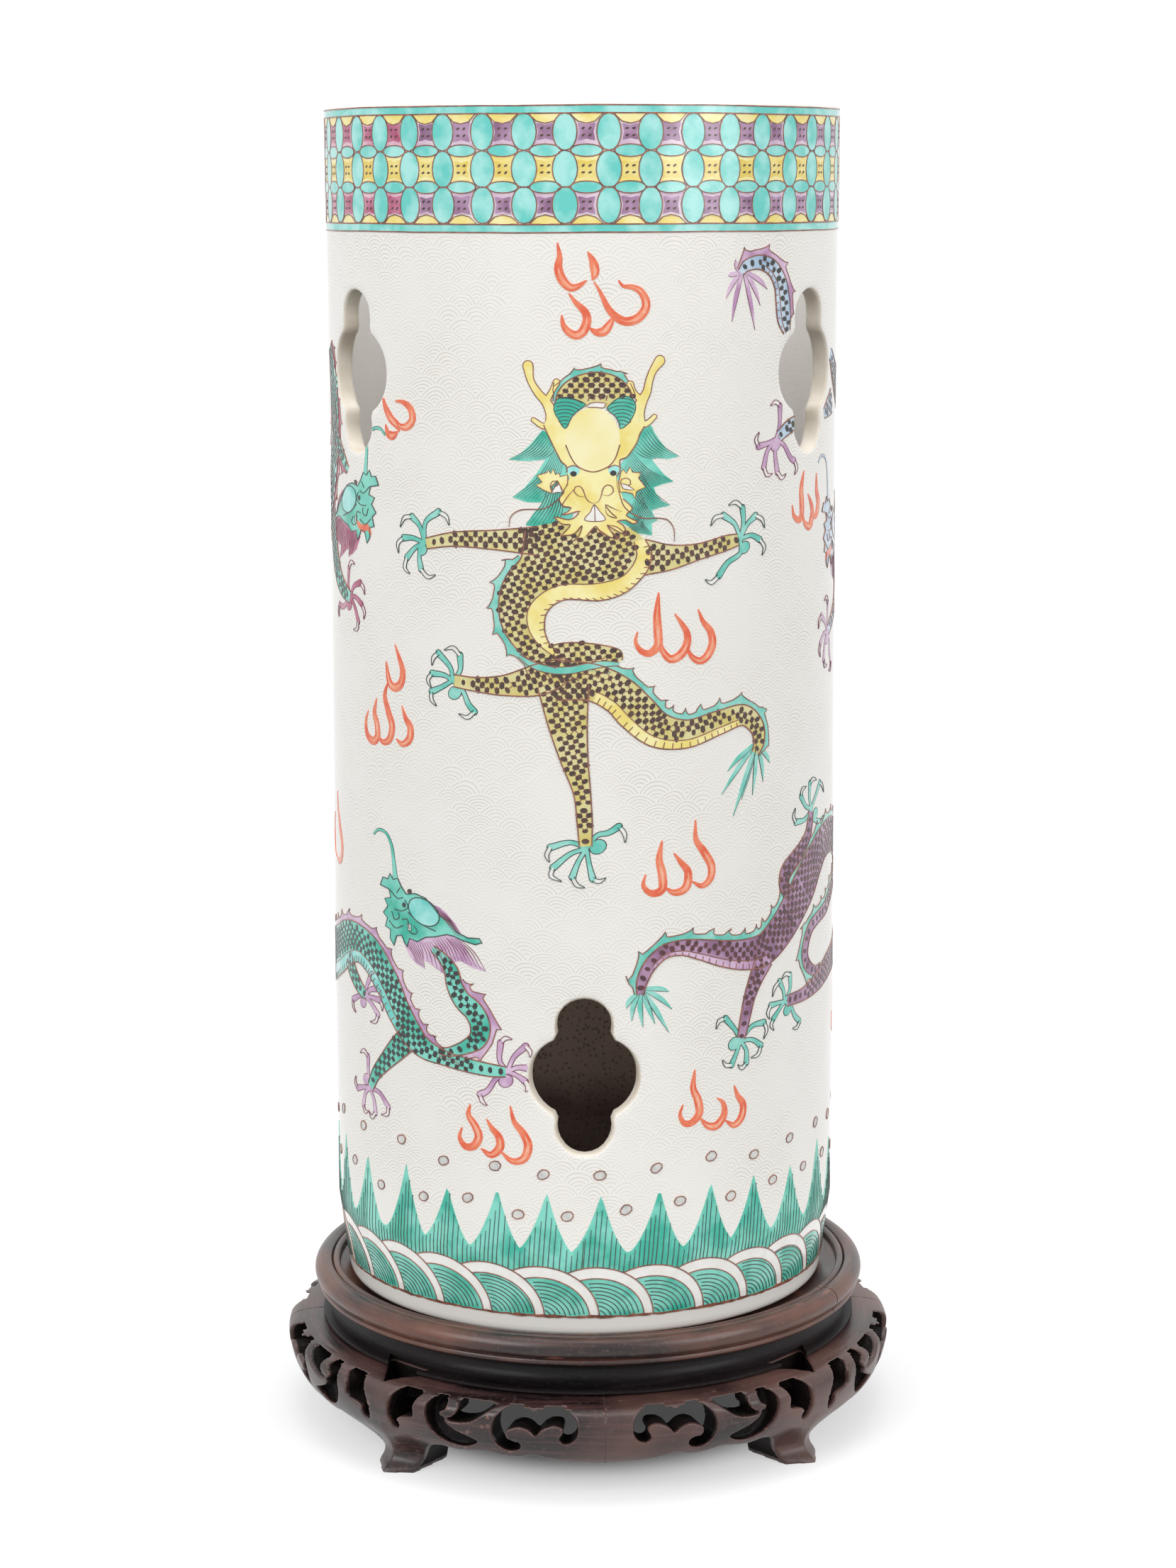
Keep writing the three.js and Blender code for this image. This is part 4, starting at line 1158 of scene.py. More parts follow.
# %% The head of the facing dragon
FACE = [(-4, 209.8), (-6.3, 212.4), (-7, 213.9), (-8.7, 210.6), (-8, 208.9), (-7, 206.8), (-5.8, 204.4),
    (-4.7, 202.4), (-3.7, 201.6), (-3.5, 200.1), (-3, 199), (-3.7, 197.2), (-4.2, 195.7), (-5.3, 194.2),
    (-4.5, 192.7), (-2.6, 192.3), (-3.2, 191.5), (-4.7, 190.7), (-3.2, 190.9), (-0.9, 191.5), (-1.6, 190.3),
    (-3.2, 189.6), (-6.3, 190.2), (-4.6, 188.6), (-2.8, 188.4), (-4.9, 186), (-2.1, 186.4), (-0.2, 188.3),
    (-0.9, 186), (-2.1, 184.9), (0.7, 185.9), (2.7, 188.1), (3.6, 187.3), (6.2, 185.6), (8, 185.3),
    (6.2, 187), (5.4, 188.4), (8, 186.8), (9.7, 186.2), (9, 188.3), (7.6, 189.2), (9.7, 189.4),
    (11.1, 188.6), (12.2, 189), (9.7, 190.5), (11.1, 192), (9, 194.2), (8, 197.2), (7.5, 199.2),
    (8.3, 200.5), (8.3, 202.8), (9.7, 203.3), (11.1, 205), (12.2, 206.8), (12.9, 208.7), (13.9, 210.2),
    (12.9, 213.5), (12, 215.2), (11.1, 211.3), (8.4, 209.7)]


def facing_head(brush, colours):
    """The head seen from the front: mane, horns, bulging brow, eyes, curled nostrils and beard."""
    line, hair, skin, fine = colours["line"], colours["hair"], colours["head"], "dark_line"
    left_mane = [(-9, 209.4), (-11.8, 206.2), (-14.3, 204), (-16.8, 202.8), (-12.5, 202.5), (-8.3, 203),
        (-10.3, 199.9), (-13.1, 196.6), (-16, 194.4), (-12.5, 193.4), (-8.9, 193.4), (-11.1, 191),
        (-12.9, 188.2), (-5.5, 187.5), (-3.1, 187.6), (-2, 191.4), (-2, 199), (-3.8, 202.1), (-6.2, 206.2),
        (-7.6, 208.8)]
    right_mane = [(15.4, 210.4), (16.2, 208.7), (17.6, 206.7), (19.5, 204.6), (22, 203.3), (19.5, 202.8),
        (16.7, 203.1), (15.6, 202.8), (16.7, 201.4), (18.4, 199.4), (20.7, 197.7), (18.4, 197.3),
        (16, 196.6), (16.5, 195.3), (17.8, 193.6), (19.9, 192.4), (17.4, 192), (15.6, 191.5), (16, 190.3),
        (16.9, 189.2), (15.6, 188.6), (15.6, 185.8), (12.5, 186.4), (9.7, 188.3), (7, 189.7), (6.5, 199.1),
        (9.4, 203.1), (12.2, 206.8), (13.9, 210)]
    for mane in (left_mane, right_mane):
        brush.shape(hair, mane, "wash")
    for start, stop in ([((14.6, 210.2), (11.4, 205)), ((21.9, 203.4), (15.8, 202.9))],
            [((10.9, 204.6), (9.2, 201.2)), ((20.5, 197.9), (15.6, 196.8))],
            [((12.6, 201), (10.6, 196.6)), ((19.7, 192.6), (15, 191.4))],
            [((13, 195.8), (10.8, 192.6)), ((16.8, 189.3), (13.6, 187.6))],
            [((12.6, 191), (9.8, 189)), ((15.6, 186.2), (12.4, 186.4))]):
        ruled(brush, fine, start, stop, -0.09, 9)
    for start, stop in ([((-9, 209), (-6.2, 205.4)), ((-16.6, 202.9), (-9, 203))],
            [((-6.4, 204.8), (-4.4, 202)), ((-15.8, 194.5), (-9, 193.8))],
            [((-7, 200), (-4.6, 196)), ((-12.8, 188.5), (-6, 187.9))]):
        ruled(brush, fine, start, stop, 0.09, 9)
    dome = [(-6.1, 215.7), (-5.5, 217.8), (-4, 219.8), (-1.7, 221.2), (1.4, 222.1), (4.6, 222.1),
        (7.7, 221.1), (10.1, 219), (11.2, 216.6), (8.4, 216.3), (5.6, 214.6), (2.8, 214.4), (0.2, 214.8),
        (-2.8, 216.6)]
    left_fan = [(-6.4, 213.9), (-6.1, 215.8), (-4.9, 216.6), (-3.2, 216.7), (-1.1, 216.1), (0.7, 215.2),
        (0, 214.5), (-1.4, 213.5), (-2.6, 212.2), (-3.3, 210.4), (-4, 209.8), (-4.6, 210.4), (-5.3, 211.7),
        (-6, 212.8)]
    right_fan = [(5.4, 214.1), (6.2, 215.2), (7.6, 216.3), (9.4, 216.9), (11, 216.4), (11.8, 215),
        (11.7, 213.5), (10.8, 211.7), (9.7, 210.4), (8.4, 209.7), (8.1, 211), (7.5, 212.2), (6.5, 213.2)]
    spotted_patch(brush, colours, dome, [[(-1, 216.6), (6.6, 216.6), (6.6, 213), (-1, 213)]], 0.0)
    crown = smooth_path([(x, z, 0.5) for x, z in dome[:9]], 0.6)
    hooked_fin(brush, colours, crown, normals_along(crown), 1, 0.0, 1.0, 0.75)
    brush.stroke(line, dome[:9], 0.26, smooth=True)
    for across, up in ((1.2, 215.9), (2.5, 216.1), (3.9, 216.1), (5.2, 216)):
        brush.stroke(line, [(across, up), (across + 0.3, up + 1.1)], 0.22)
    for horn in ([(-6.8, 210.6, 3), (-6.9, 213, 2.4), (-8.1, 215.6, 1.8), (-9.9, 217.6, 1.5),
                (-11.6, 220.4, 1.3), (-12.2, 223.6, 2.1)],
            [(-8.2, 215.7, 1.3), (-6.8, 218.1, 0.9), (-5.8, 220, 1.3)],
            [(-6.8, 210.2, 1.4), (-9, 210.4, 1), (-11, 211.7, 0.8)],
            [(12.4, 210.4, 3.2), (12.3, 213, 2.8), (13.2, 215.6, 2.1), (14.4, 217.8, 1.6), (15, 220.4, 1.4),
                (15.9, 222.6, 1.4), (17.4, 224.6, 2.1)],
            [(13, 216, 1.3), (11.4, 217.8, 0.9), (10.6, 219.5, 1.3)],
            [(12.6, 210.3, 1.4), (14.6, 210.9, 1), (16.2, 212.3, 0.8)]):
        outlined(brush, skin, line, horn, "over", 0.46, "fin_over", tip=True)
    brush.shape(skin, FACE, "over")
    brow = [(2.2 + 6.1 * math.cos(2 * math.pi * i / 32), 207.3 + 7.1 * math.sin(2 * math.pi * i / 32))
        for i in range(32)]
    brush.shape("pale_yellow", brow, "dot")
    brush.shape("white", [(0.7, 214.7), (1.7, 215.4), (3.3, 215.6), (5.2, 215.3), (4.7, 214.4),
            (3.1, 214.5), (1.7, 214.5)], "over", line, 0.2, smooth=True)
    for fan, foot in ((left_fan, (-4, 209.2)), (right_fan, (8.6, 209.1))):
        brush.shape(hair, fan, "dot", fine, 0.2, smooth=True)
        for k in range(8):
            reach = 1.7 + 0.8 * k
            arc = [(foot[0] + reach * math.cos(t / 9), foot[1] + reach * math.sin(t / 9))
                for t in range(3, 26)]
            arc = [p for p in arc if within(p, fan)]
            if len(arc) > 2:
                brush.stroke(fine, arc, 0.17)
    for mark in (FACE[3:10], FACE[48:56], FACE[12:26], FACE[36:47], FACE[25:30], FACE[30:37],
            [(-3.8, 206.2), (-2.6, 203.4), (-1.3, 201.6), (0.5, 200.6), (2.4, 200.2), (4.3, 200.7),
                (6, 201.6), (7.3, 203.3), (8.3, 206.2)]):
        brush.stroke(line, mark, 0.27, smooth=True)
    for mark in ([(0.3, 194.7), (-1, 194.9), (-2, 196), (-1.7, 196.9), (-0.7, 197.1), (0.1, 196.1),
                (0.6, 194.6), (1.4, 193.6), (2.4, 193.2)],
            [(4.4, 195.2), (5.6, 194.9), (6.8, 195.8), (6.5, 196.9), (5.5, 197.3), (4.5, 196.5), (4, 194.6),
                (3.3, 193.5), (2.4, 193.2)],
            [(-3, 199), (-3.8, 196.9), (-4.9, 194.9), (-6.4, 193.4), (-9, 192), (-13.9, 191.7),
                (-16.3, 190.2), (-16.8, 187.8)],
            [(7.5, 199.2), (7.7, 197.2), (8.3, 194.9), (9.2, 192.5), (11.1, 190.8), (13.9, 189.7),
                (16.7, 189.7), (19.3, 189.2), (20.8, 187.1), (20.9, 184.3)],
            [(-2, 196.4), (-3.5, 194.6), (-4.6, 192.6), (-2.5, 192.3), (-3.2, 191.8)],
            [(-0.4, 191.5), (-1.8, 191.4)],
            [(5, 192.9), (5.4, 190.7), (7.6, 189.9), (6.2, 191.2), (5, 192.9), (6.9, 192), (8.7, 191.3)],
            [(5.5, 188.4), (6.6, 186.4), (8, 185.3)], [(5.5, 188.4), (7.6, 187.9), (9.7, 186.2)],
            [(-0.2, 188.3), (-2.1, 186.4), (-4.9, 185.9)], [(2.8, 188.3), (3.8, 187), (5, 186)]):
        brush.stroke(line, mark, 0.25, taper=0.3, smooth=True)
    ears = [[(-4.6, 195.7), (-5.1, 197.2), (-5.6, 198.3), (-7.3, 196.8), (-7, 195.5), (-8.7, 196.1),
            (-10.5, 197.2), (-9.1, 197.9), (-10.3, 199.4), (-8, 200.1), (-7.7, 200.7), (-7.2, 199.8),
            (-6.6, 200.9), (-6.1, 199.6), (-5.3, 200), (-5.1, 199.2), (-3.4, 199.6), (-3.4, 197.4)],
        [(8.3, 195.7), (8, 197.9), (8.5, 200.1), (9, 200.8), (9.7, 199.8), (10.6, 201.2), (11.1, 200.1),
            (13, 199.8), (12.5, 198.7), (14.1, 196.7), (12.5, 196), (12, 195.7), (11.7, 194.2),
            (11.1, 195.3), (9.4, 195.7)]]
    whites = [[(-7, 195.5), (-6.3, 196.8), (-5.4, 197.7), (-4.7, 196.6), (-4.5, 195.7), (-5.6, 195.7)],
        [(8.4, 197.7), (9, 197.5), (10.1, 197.2), (11.6, 196.1), (10.4, 196.1), (9, 196.4)]]
    curls = [[(-6.8, 195.7), (-7.3, 197), (-6.8, 198.1), (-5.8, 198.2), (-5.3, 197.5), (-6, 197)],
        [(8.4, 197.6), (8.6, 198.5), (9.6, 198.8), (10.6, 198.3), (10.7, 197.4), (10.1, 197.1)]]
    for ear, white, curl in zip(ears, whites, curls):
        brush.shape(skin, ear, "over", line, 0.22)
        brush.shape("white", white, "dot", line, 0.18)
        brush.stroke(line, curl, 0.22, smooth=True)
    for eye, pupil in (((-2.1, 200.5), (-2.1, 199.8)), ((7.1, 200.5), (6.8, 199.9))):
        brush.dot("turquoise", eye, 1.05, "dot", 1.35, 0.0, 14)
        brush.dot("black_dot", pupil, 0.62, "line", 1.2, 0.0, 10)
        side = 1 if eye[0] > 2 else -1
        brush.stroke(line, [(eye[0] - side * 1.5, eye[1] + 0.5), (eye[0], eye[1] + 1.2),
                (eye[0] + side * 1.5, eye[1] + 0.6)], 0.24, smooth=True)
    brush.shape("white", [(2.5, 193), (1.7, 191.4), (0.3, 189.6), (2.7, 189.2), (5.1, 189.6), (3.8, 191.4)],
        "dot", line, 0.2, smooth=True)
    brush.stroke(line, [(2.6, 192.9), (2.7, 189.3)], 0.2)


# %% The facing dragon
def facing_dragon(brush, colours):
    """The dragon seen from the front, with its body in a double bend and its limbs spread."""
    line = colours["line"]
    scaled_limb(brush, colours, [(-10, 184.8, 6.4), (-20, 184.8, 4.4), (-30, 184.6, 3.2),
            (-38, 183.2, 2.4)])
    scaled_limb(brush, colours, [(14, 181, 8), (20, 180.8, 5.6), (27, 181.8, 3.6), (34, 183.3, 3.4),
            (37.5, 183.9, 2.6)])
    scaled_limb(brush, colours, [(-3, 156.4, 5), (-10, 153.6, 7), (-18, 152, 4.6), (-25, 151.9, 3.2),
            (-30.5, 152.4, 2.8)])
    scaled_limb(brush, colours, [(-4.5, 152, 11.5), (-3.6, 144, 9), (-2.2, 136, 6.4), (-0.4, 128, 3.9),
            (0.2, 121, 3.4), (0.4, 115.5, 2.8)])
    claw(brush, colours, (-38.5, 183.2), [
        [(-37.5, 187.5), (-34.5, 190.5), (-32.4, 189.6), (-31.6, 187.6)],
        [(-40.5, 186.6), (-42.3, 189), (-44.6, 188.6), (-46, 186.4)],
        [(-42, 183.5), (-45, 184), (-46.8, 182.6), (-46.6, 180.4)],
        [(-41, 181.4), (-44, 179.5), (-44.6, 177.2), (-43, 175.9)],
        [(-39.5, 180.2), (-39.6, 177.2), (-37.6, 175.6), (-35.4, 176.2)]], (-39.2, 181.6, 1.5))
    claw(brush, colours, (38.2, 184), [
        [(36, 187), (33.4, 189.6), (31.2, 189.2), (30, 187.4)],
        [(38.4, 187.6), (38.8, 191), (36.8, 192.4), (34.8, 191.8)],
        [(40.6, 186.6), (42.8, 189), (44.8, 188), (45.6, 186)],
        [(41.4, 184), (44.2, 183.4), (45.6, 181.6), (44.8, 179.8)],
        [(37.4, 181.4), (34.6, 178.8), (32.2, 176), (30.2, 174.6), (28.6, 175.4)]], (39.4, 182, 1.7))
    claw(brush, colours, (-31, 152.4), [
        [(-29.6, 155), (-29, 158.3), (-30.8, 159.9), (-33.2, 159.2)],
        [(-32.2, 155), (-34.8, 158.4), (-36.2, 157.2), (-36.6, 155.4)],
        [(-33.4, 152.9), (-36.6, 153.6), (-37.8, 152), (-36.8, 150.2)],
        [(-33.4, 150.2), (-36.8, 149.4), (-36.8, 147.6), (-35.4, 146.2)],
        [(-29, 149.6), (-27, 147.4), (-25.4, 145.6), (-27.2, 144.2), (-29.4, 144.9)]], (-30.4, 149.6, 1.9))
    claw(brush, colours, (0.6, 115), [
        [(-3, 115.6), (-7.6, 115.2), (-8.4, 113.4), (-7.8, 111.8)],
        [(-2.6, 113), (-7, 110.5), (-7.4, 108.6), (-5, 107.4)],
        [(-0.6, 111.6), (-2.6, 108.4), (-1.6, 106.6), (0.2, 106)],
        [(2, 111), (2, 108), (3.4, 107.4), (5, 108.2)],
        [(3.4, 117.2), (5.6, 118.6), (8, 120), (9.2, 118.4), (9.4, 116.2)]], (3.2, 115.4, 2.1))

    belly_outer = [(14, 185), (15.5, 182), (14.5, 178), (10, 173.5), (4, 171.5), (-4, 171.7), (-8, 169),
        (-8.7, 165), (-7.5, 161.5), (-6, 160.3)]
    belly_inner = [(11.5, 184.5), (12, 181), (9, 177), (3, 175.3), (-5, 175), (-10, 172.5), (-12.5, 169),
        (-12.3, 165), (-10, 161.5), (-6, 158.5)]
    outer, inner = smooth_path(belly_outer, 0.8), smooth_path(belly_inner, 0.8)
    band = outer + inner[::-1]
    back = [(-13, 187), (-14, 181), (-17, 177.5), (-19, 173), (-19, 167), (-16.5, 162), (-12, 158),
        (-6, 156.3)]
    tail = [(-6, 153.6, 9), (2, 153, 8.4), (8, 150, 8.6), (12, 146, 9), (17, 141.8, 8), (24, 140.5, 6.4),
            (32, 142.4, 5.6), (39, 143.6, 4.8), (43.2, 140.6, 4.2), (44, 137, 3.4), (42.8, 134.4, 2.2)]
    scaled_limb(brush, colours, tail, belly=-1, belly_from=0.16, belly_to=0.78, fin=1, fin_from=0.1)
    spotted_patch(brush, colours, back + [(-6, 160.3)] + belly_outer[::-1] + [(8, 188.5), (-4, 189)],
        [band, FACE], 0.25)
    haunch = [(-8, 157.5), (-7.5, 161.2), (-4, 162), (2, 161.8), (8, 160.4), (8.8, 158), (4, 157),
        (-2, 156.8)]
    spotted_patch(brush, colours, haunch, (), 0.1)
    brush.stroke(line, haunch[1:6], 0.26, smooth=True)
    brush.shape(colours["belly"], band, "over")
    brush.stroke(line, outer, 0.28)
    brush.stroke(line, inner, 0.22)
    for i in range(2, len(outer) - 2, 2):
        towards = np.array(inner[min(len(inner) - 1, i)][:2]) - outer[i][:2]
        brush.stroke(line, [outer[i][:2], outer[i][:2] + towards / max(0.1, np.hypot(*towards)) * 1.2], 0.2)
    ridge = smooth_path([(x, z, 0.5) for x, z in back[1:]] + [(0, 156.4, 0.5), (6, 156, 0.5)], 0.6)
    brush.stroke(line, back, 0.3, smooth=True)
    hooked_fin(brush, colours, ridge, normals_along(ridge), -1)
    crossing = smooth_path([(-14.6, 158.9, 0.6), (-11.2, 156.8, 1.4), (-7, 155.8, 1.6), (-3, 155.8, 1.6),
            (1.5, 156.7, 1.5), (5, 157.2, 1.3), (8, 157.1, 0.7)], 0.6)
    brush.stroke(colours["fin"], crossing, level="line")
    for side in (1, -1):
        brush.stroke(line, edge_of(crossing, normals_along(crossing), side), 0.18, "top")
    ends = [(34.6, 131), (33, 125.8), (36.2, 120.4), (38.6, 124), (42, 124.6), (45.4, 127.4), (47.6, 131.6)]
    tuft(brush, colours, (43, 136), ends)
    facing_head(brush, colours)


random.seed(3)
facing_dragon(Brush("facing_dragon"), gold)
print("facing dragon drawn")

# %% [markdown]
# ## Dragons seen from the side
# The others go round the tube in profile. Their head is drawn once and turned or mirrored for each.


# %% A head in profile
def side_head(brush, colours, middle, mirror=1, tongue=False):
    """A head that looks left, or right if mirrored, with its middle at this place."""
    head = Brush(brush.piece, brush.around + brush.mirror * (middle[0] + mirror * 42),
        brush.up + middle[1] - 96, brush.mirror * mirror)
    line, skin, hair = colours["net"], colours["head"], colours["hair"]
    low_mane = [(-46, 89.5), (-44, 86.5), (-42, 85.2), (-39.2, 84.2), (-40.2, 86.2), (-38, 85.8),
        (-35.5, 84.5), (-32.6, 83.2), (-33.4, 85), (-34.4, 86.4), (-32, 86.4), (-29.5, 87.4), (-26, 86),
        (-22.8, 85.5), (-25, 87.2), (-27, 89.2), (-28.5, 91.3), (-30, 93), (-36, 94.2), (-44, 92)]
    back_mane = [(-37.4, 99.9), (-35, 99.4), (-33, 98.2), (-31, 96.3), (-29.5, 94.3), (-28.4, 92.6),
        (-32, 93.4), (-34, 95.4), (-37, 98)]
    for mane in (low_mane, back_mane):
        head.shape(hair, mane, "fin")
    hair_line = "dark_line" if hair == "teal" else "plum_line"
    for start, stop in ([((-45.6, 89.6), (-42, 90.4)), ((-41.8, 85.4), (-39.4, 84.6))],
            [((-41, 90.2), (-37.6, 91)), ((-39.6, 86.6), (-33, 83.6))],
            [((-37, 91.6), (-33.4, 92.6)), ((-34, 86.6), (-29.8, 87.4))],
            [((-33, 92.4), (-29.6, 92.6)), ((-28.6, 87.3), (-23, 85.7))],
            [((-37, 98.4), (-36.4, 99.6)), ((-30.6, 93.4), (-28.8, 93))]):
        ruled(head, hair_line, start, stop, 0.08, 6, 0.2)
    outlined(head, skin, line, [(-48.6, 103.5, 1.6), (-49.2, 108, 1), (-50, 112, 0.8), (-52, 114.6, 0.6),
            (-55, 115, 0.5), (-57, 113.6, 0.4)], "wash", 0.3)
    outline = [(-54.3, 102), (-51, 101.5), (-50.3, 99.6), (-52.6, 99), (-51.4, 97.4), (-53.2, 95.6),
        (-51.6, 94.5), (-52.4, 92.4), (-50.5, 92), (-50.6, 89.8), (-49.3, 88.3), (-48.3, 90.8),
        (-46.6, 91.2), (-45.6, 89.6), (-44.8, 88.7), (-44, 90.8), (-41.5, 90.4), (-39, 91.8), (-36.5, 92.2),
        (-33, 93.2), (-31, 93), (-28.5, 92.2), (-25.5, 91.6), (-23.8, 92.2), (-24.5, 93.1), (-27.5, 93),
        (-30.5, 94.2), (-32, 96.2), (-35, 97.5), (-37, 99.5), (-39, 101), (-42, 101.7), (-45, 101.2),
        (-46.5, 102.6), (-47.8, 104.5), (-49.4, 104), (-50.6, 105.2), (-51.4, 103.8), (-53.2, 104)]
    head.shape(skin, outline, "wash", line, 0.26)
    skull = [(-39.6 + 4.6 * math.cos(2 * math.pi * i / 20) + 0.5 * math.sin(2 * math.pi * i / 20),
            97.7 + 3 * math.sin(2 * math.pi * i / 20) - 1.1 * math.cos(2 * math.pi * i / 20))
        for i in range(20)]
    head.shape("turquoise" if skin == "teal" else skin, skull, "over", line, 0.24)
    for mark in ([(-50.6, 101.4), (-48, 99.8), (-46, 100.2)],
            [(-49, 97), (-46.4, 97), (-44.4, 98.2), (-45.4, 99.8)], [(-44.4, 97), (-41, 95), (-36, 93.6)],
            [(-51, 94), (-48.6, 92.6), (-46, 93.6)],
            [(-50, 96.4), (-49, 94.6), (-47.4, 95.2), (-47.6, 96.4)],
            [(-46.4, 95), (-44.6, 95.2), (-44, 93)], [(-42.6, 94), (-41.4, 92.8), (-42.6, 92), (-44, 92.4)],
            [(-48.2, 101), (-47, 102.4)]):
        head.stroke(line, mark, 0.22, smooth=True)
    head.dot("black_dot", (-45.7, 98.5), 0.6, "line", 1.0, 0.0, 10)
    head.dot("dark_dot", (-43.9, 102), 0.55, "line", 1.3, 0.2, 10)
    head.shape("white", [(-44.6, 94.3), (-43.5, 94.2), (-43.4, 92.8), (-44.4, 92.6)], "over", line, 0.16)
    if tongue:
        head.stroke("coral", [(-51, 90.4, 0.5), (-49.6, 92, 1.5), (-47, 91.6, 1.7), (-44.6, 92.8, 1.2)],
            level="over", smooth=True)


def winding_dragon(brush, colours, tongue=False):
    """The dragon that arches over its own arm: low body, looped neck and raised head."""
    body = [(-118, 96, 3.4), (-114, 88, 6), (-108, 80, 9), (-100, 76.6, 12), (-90, 78, 13), (-80, 81.2, 12),
            (-72, 84.6, 11), (-65, 86, 9.4), (-58, 84, 9.6), (-52, 78.6, 9), (-48, 73, 8), (-44, 68.4, 7),
            (-40, 65.4, 5.4), (-34, 63.8, 3.6), (-28, 62.9, 3.3), (-22, 62.3, 3), (-18.2, 62.2, 2.4)]
    neck = [(-37, 89.4, 1.6), (-34, 87.4, 2.6), (-31.8, 84.6, 3.8), (-31, 81.4, 4.2), (-29, 78.2, 4.6),
        (-26, 75.8, 5), (-24.4, 72.6, 5), (-25, 69.4, 4.4), (-28, 67.2, 3.2), (-32, 65.6, 2.2),
        (-35.4, 65.2, 1.4)]
    scaled_limb(brush, colours, [(-71, 81, 5), (-67.5, 77.6, 4.2), (-64, 75.2, 3.4), (-61.4, 74.2, 2.4)])
    scaled_limb(brush, colours, [(-45, 66.6, 6), (-49, 63.2, 5.4), (-53, 59.6, 4.2), (-57, 55.8, 3.2),
            (-59.6, 52, 2.6)])
    scaled_limb(brush, colours, neck, fin=1, fin_from=0.25)
    scaled_limb(brush, colours, body, belly=-1, belly_from=0.34, belly_to=0.74, fin=1, fin_from=0.02,
        fin_to=0.86)
    claw(brush, colours, (-60, 51.6), [
        [(-61.4, 55), (-60.6, 59.2), (-62.6, 60.2), (-64.6, 59.2)],
        [(-63, 51.8), (-66.6, 50), (-67.8, 51.2), (-67.4, 52.8)],
        [(-61.8, 49.4), (-63.4, 46.6), (-62.4, 45.2), (-60.8, 45.8)],
        [(-58.8, 49), (-57.6, 46), (-59.2, 44.6), (-60.6, 45.8)],
        [(-56, 50.6), (-52.2, 48.6), (-52.6, 46.8), (-55, 46.2)]], (-61.6, 53.4, 1.7))
    claw(brush, colours, (-61.4, 73.8),
        [[(-60.6, 75.6), (-59.3, 78.6), (-58.4, 80), (-57, 80.2)],
            [(-59, 75.2), (-56.4, 76.6), (-55, 76.2), (-54, 75)],
            [(-58.4, 73.4), (-55, 74), (-54, 73), (-54, 71.6)],
            [(-59, 72), (-55.8, 70.4), (-56.8, 68.6), (-59.2, 68)],
            [(-64, 72.6), (-68.6, 71.4), (-68.2, 69.6), (-66.8, 68.6)]], (-62.6, 72, 1.6), 1.35)
    claw(brush, colours, (-17.8, 62.3),
        [[(-19, 65), (-19.4, 69), (-18.2, 70.2), (-16.6, 70)],
            [(-15.6, 65.4), (-13.4, 68.6), (-12.4, 67.4), (-12.4, 66)],
            [(-15.4, 62.9), (-13.2, 63.4), (-12.2, 62.8), (-11.8, 61.6)],
            [(-15.6, 61), (-13.6, 60.2), (-13, 58.8), (-13.6, 57.8)],
            [(-20, 59.6), (-22.6, 57.4), (-24.6, 56.2), (-24, 54.6), (-22.8, 53.8)]], (-18.2, 60, 1.9))
    side_head(brush, colours, (-42, 96), tongue=tongue)


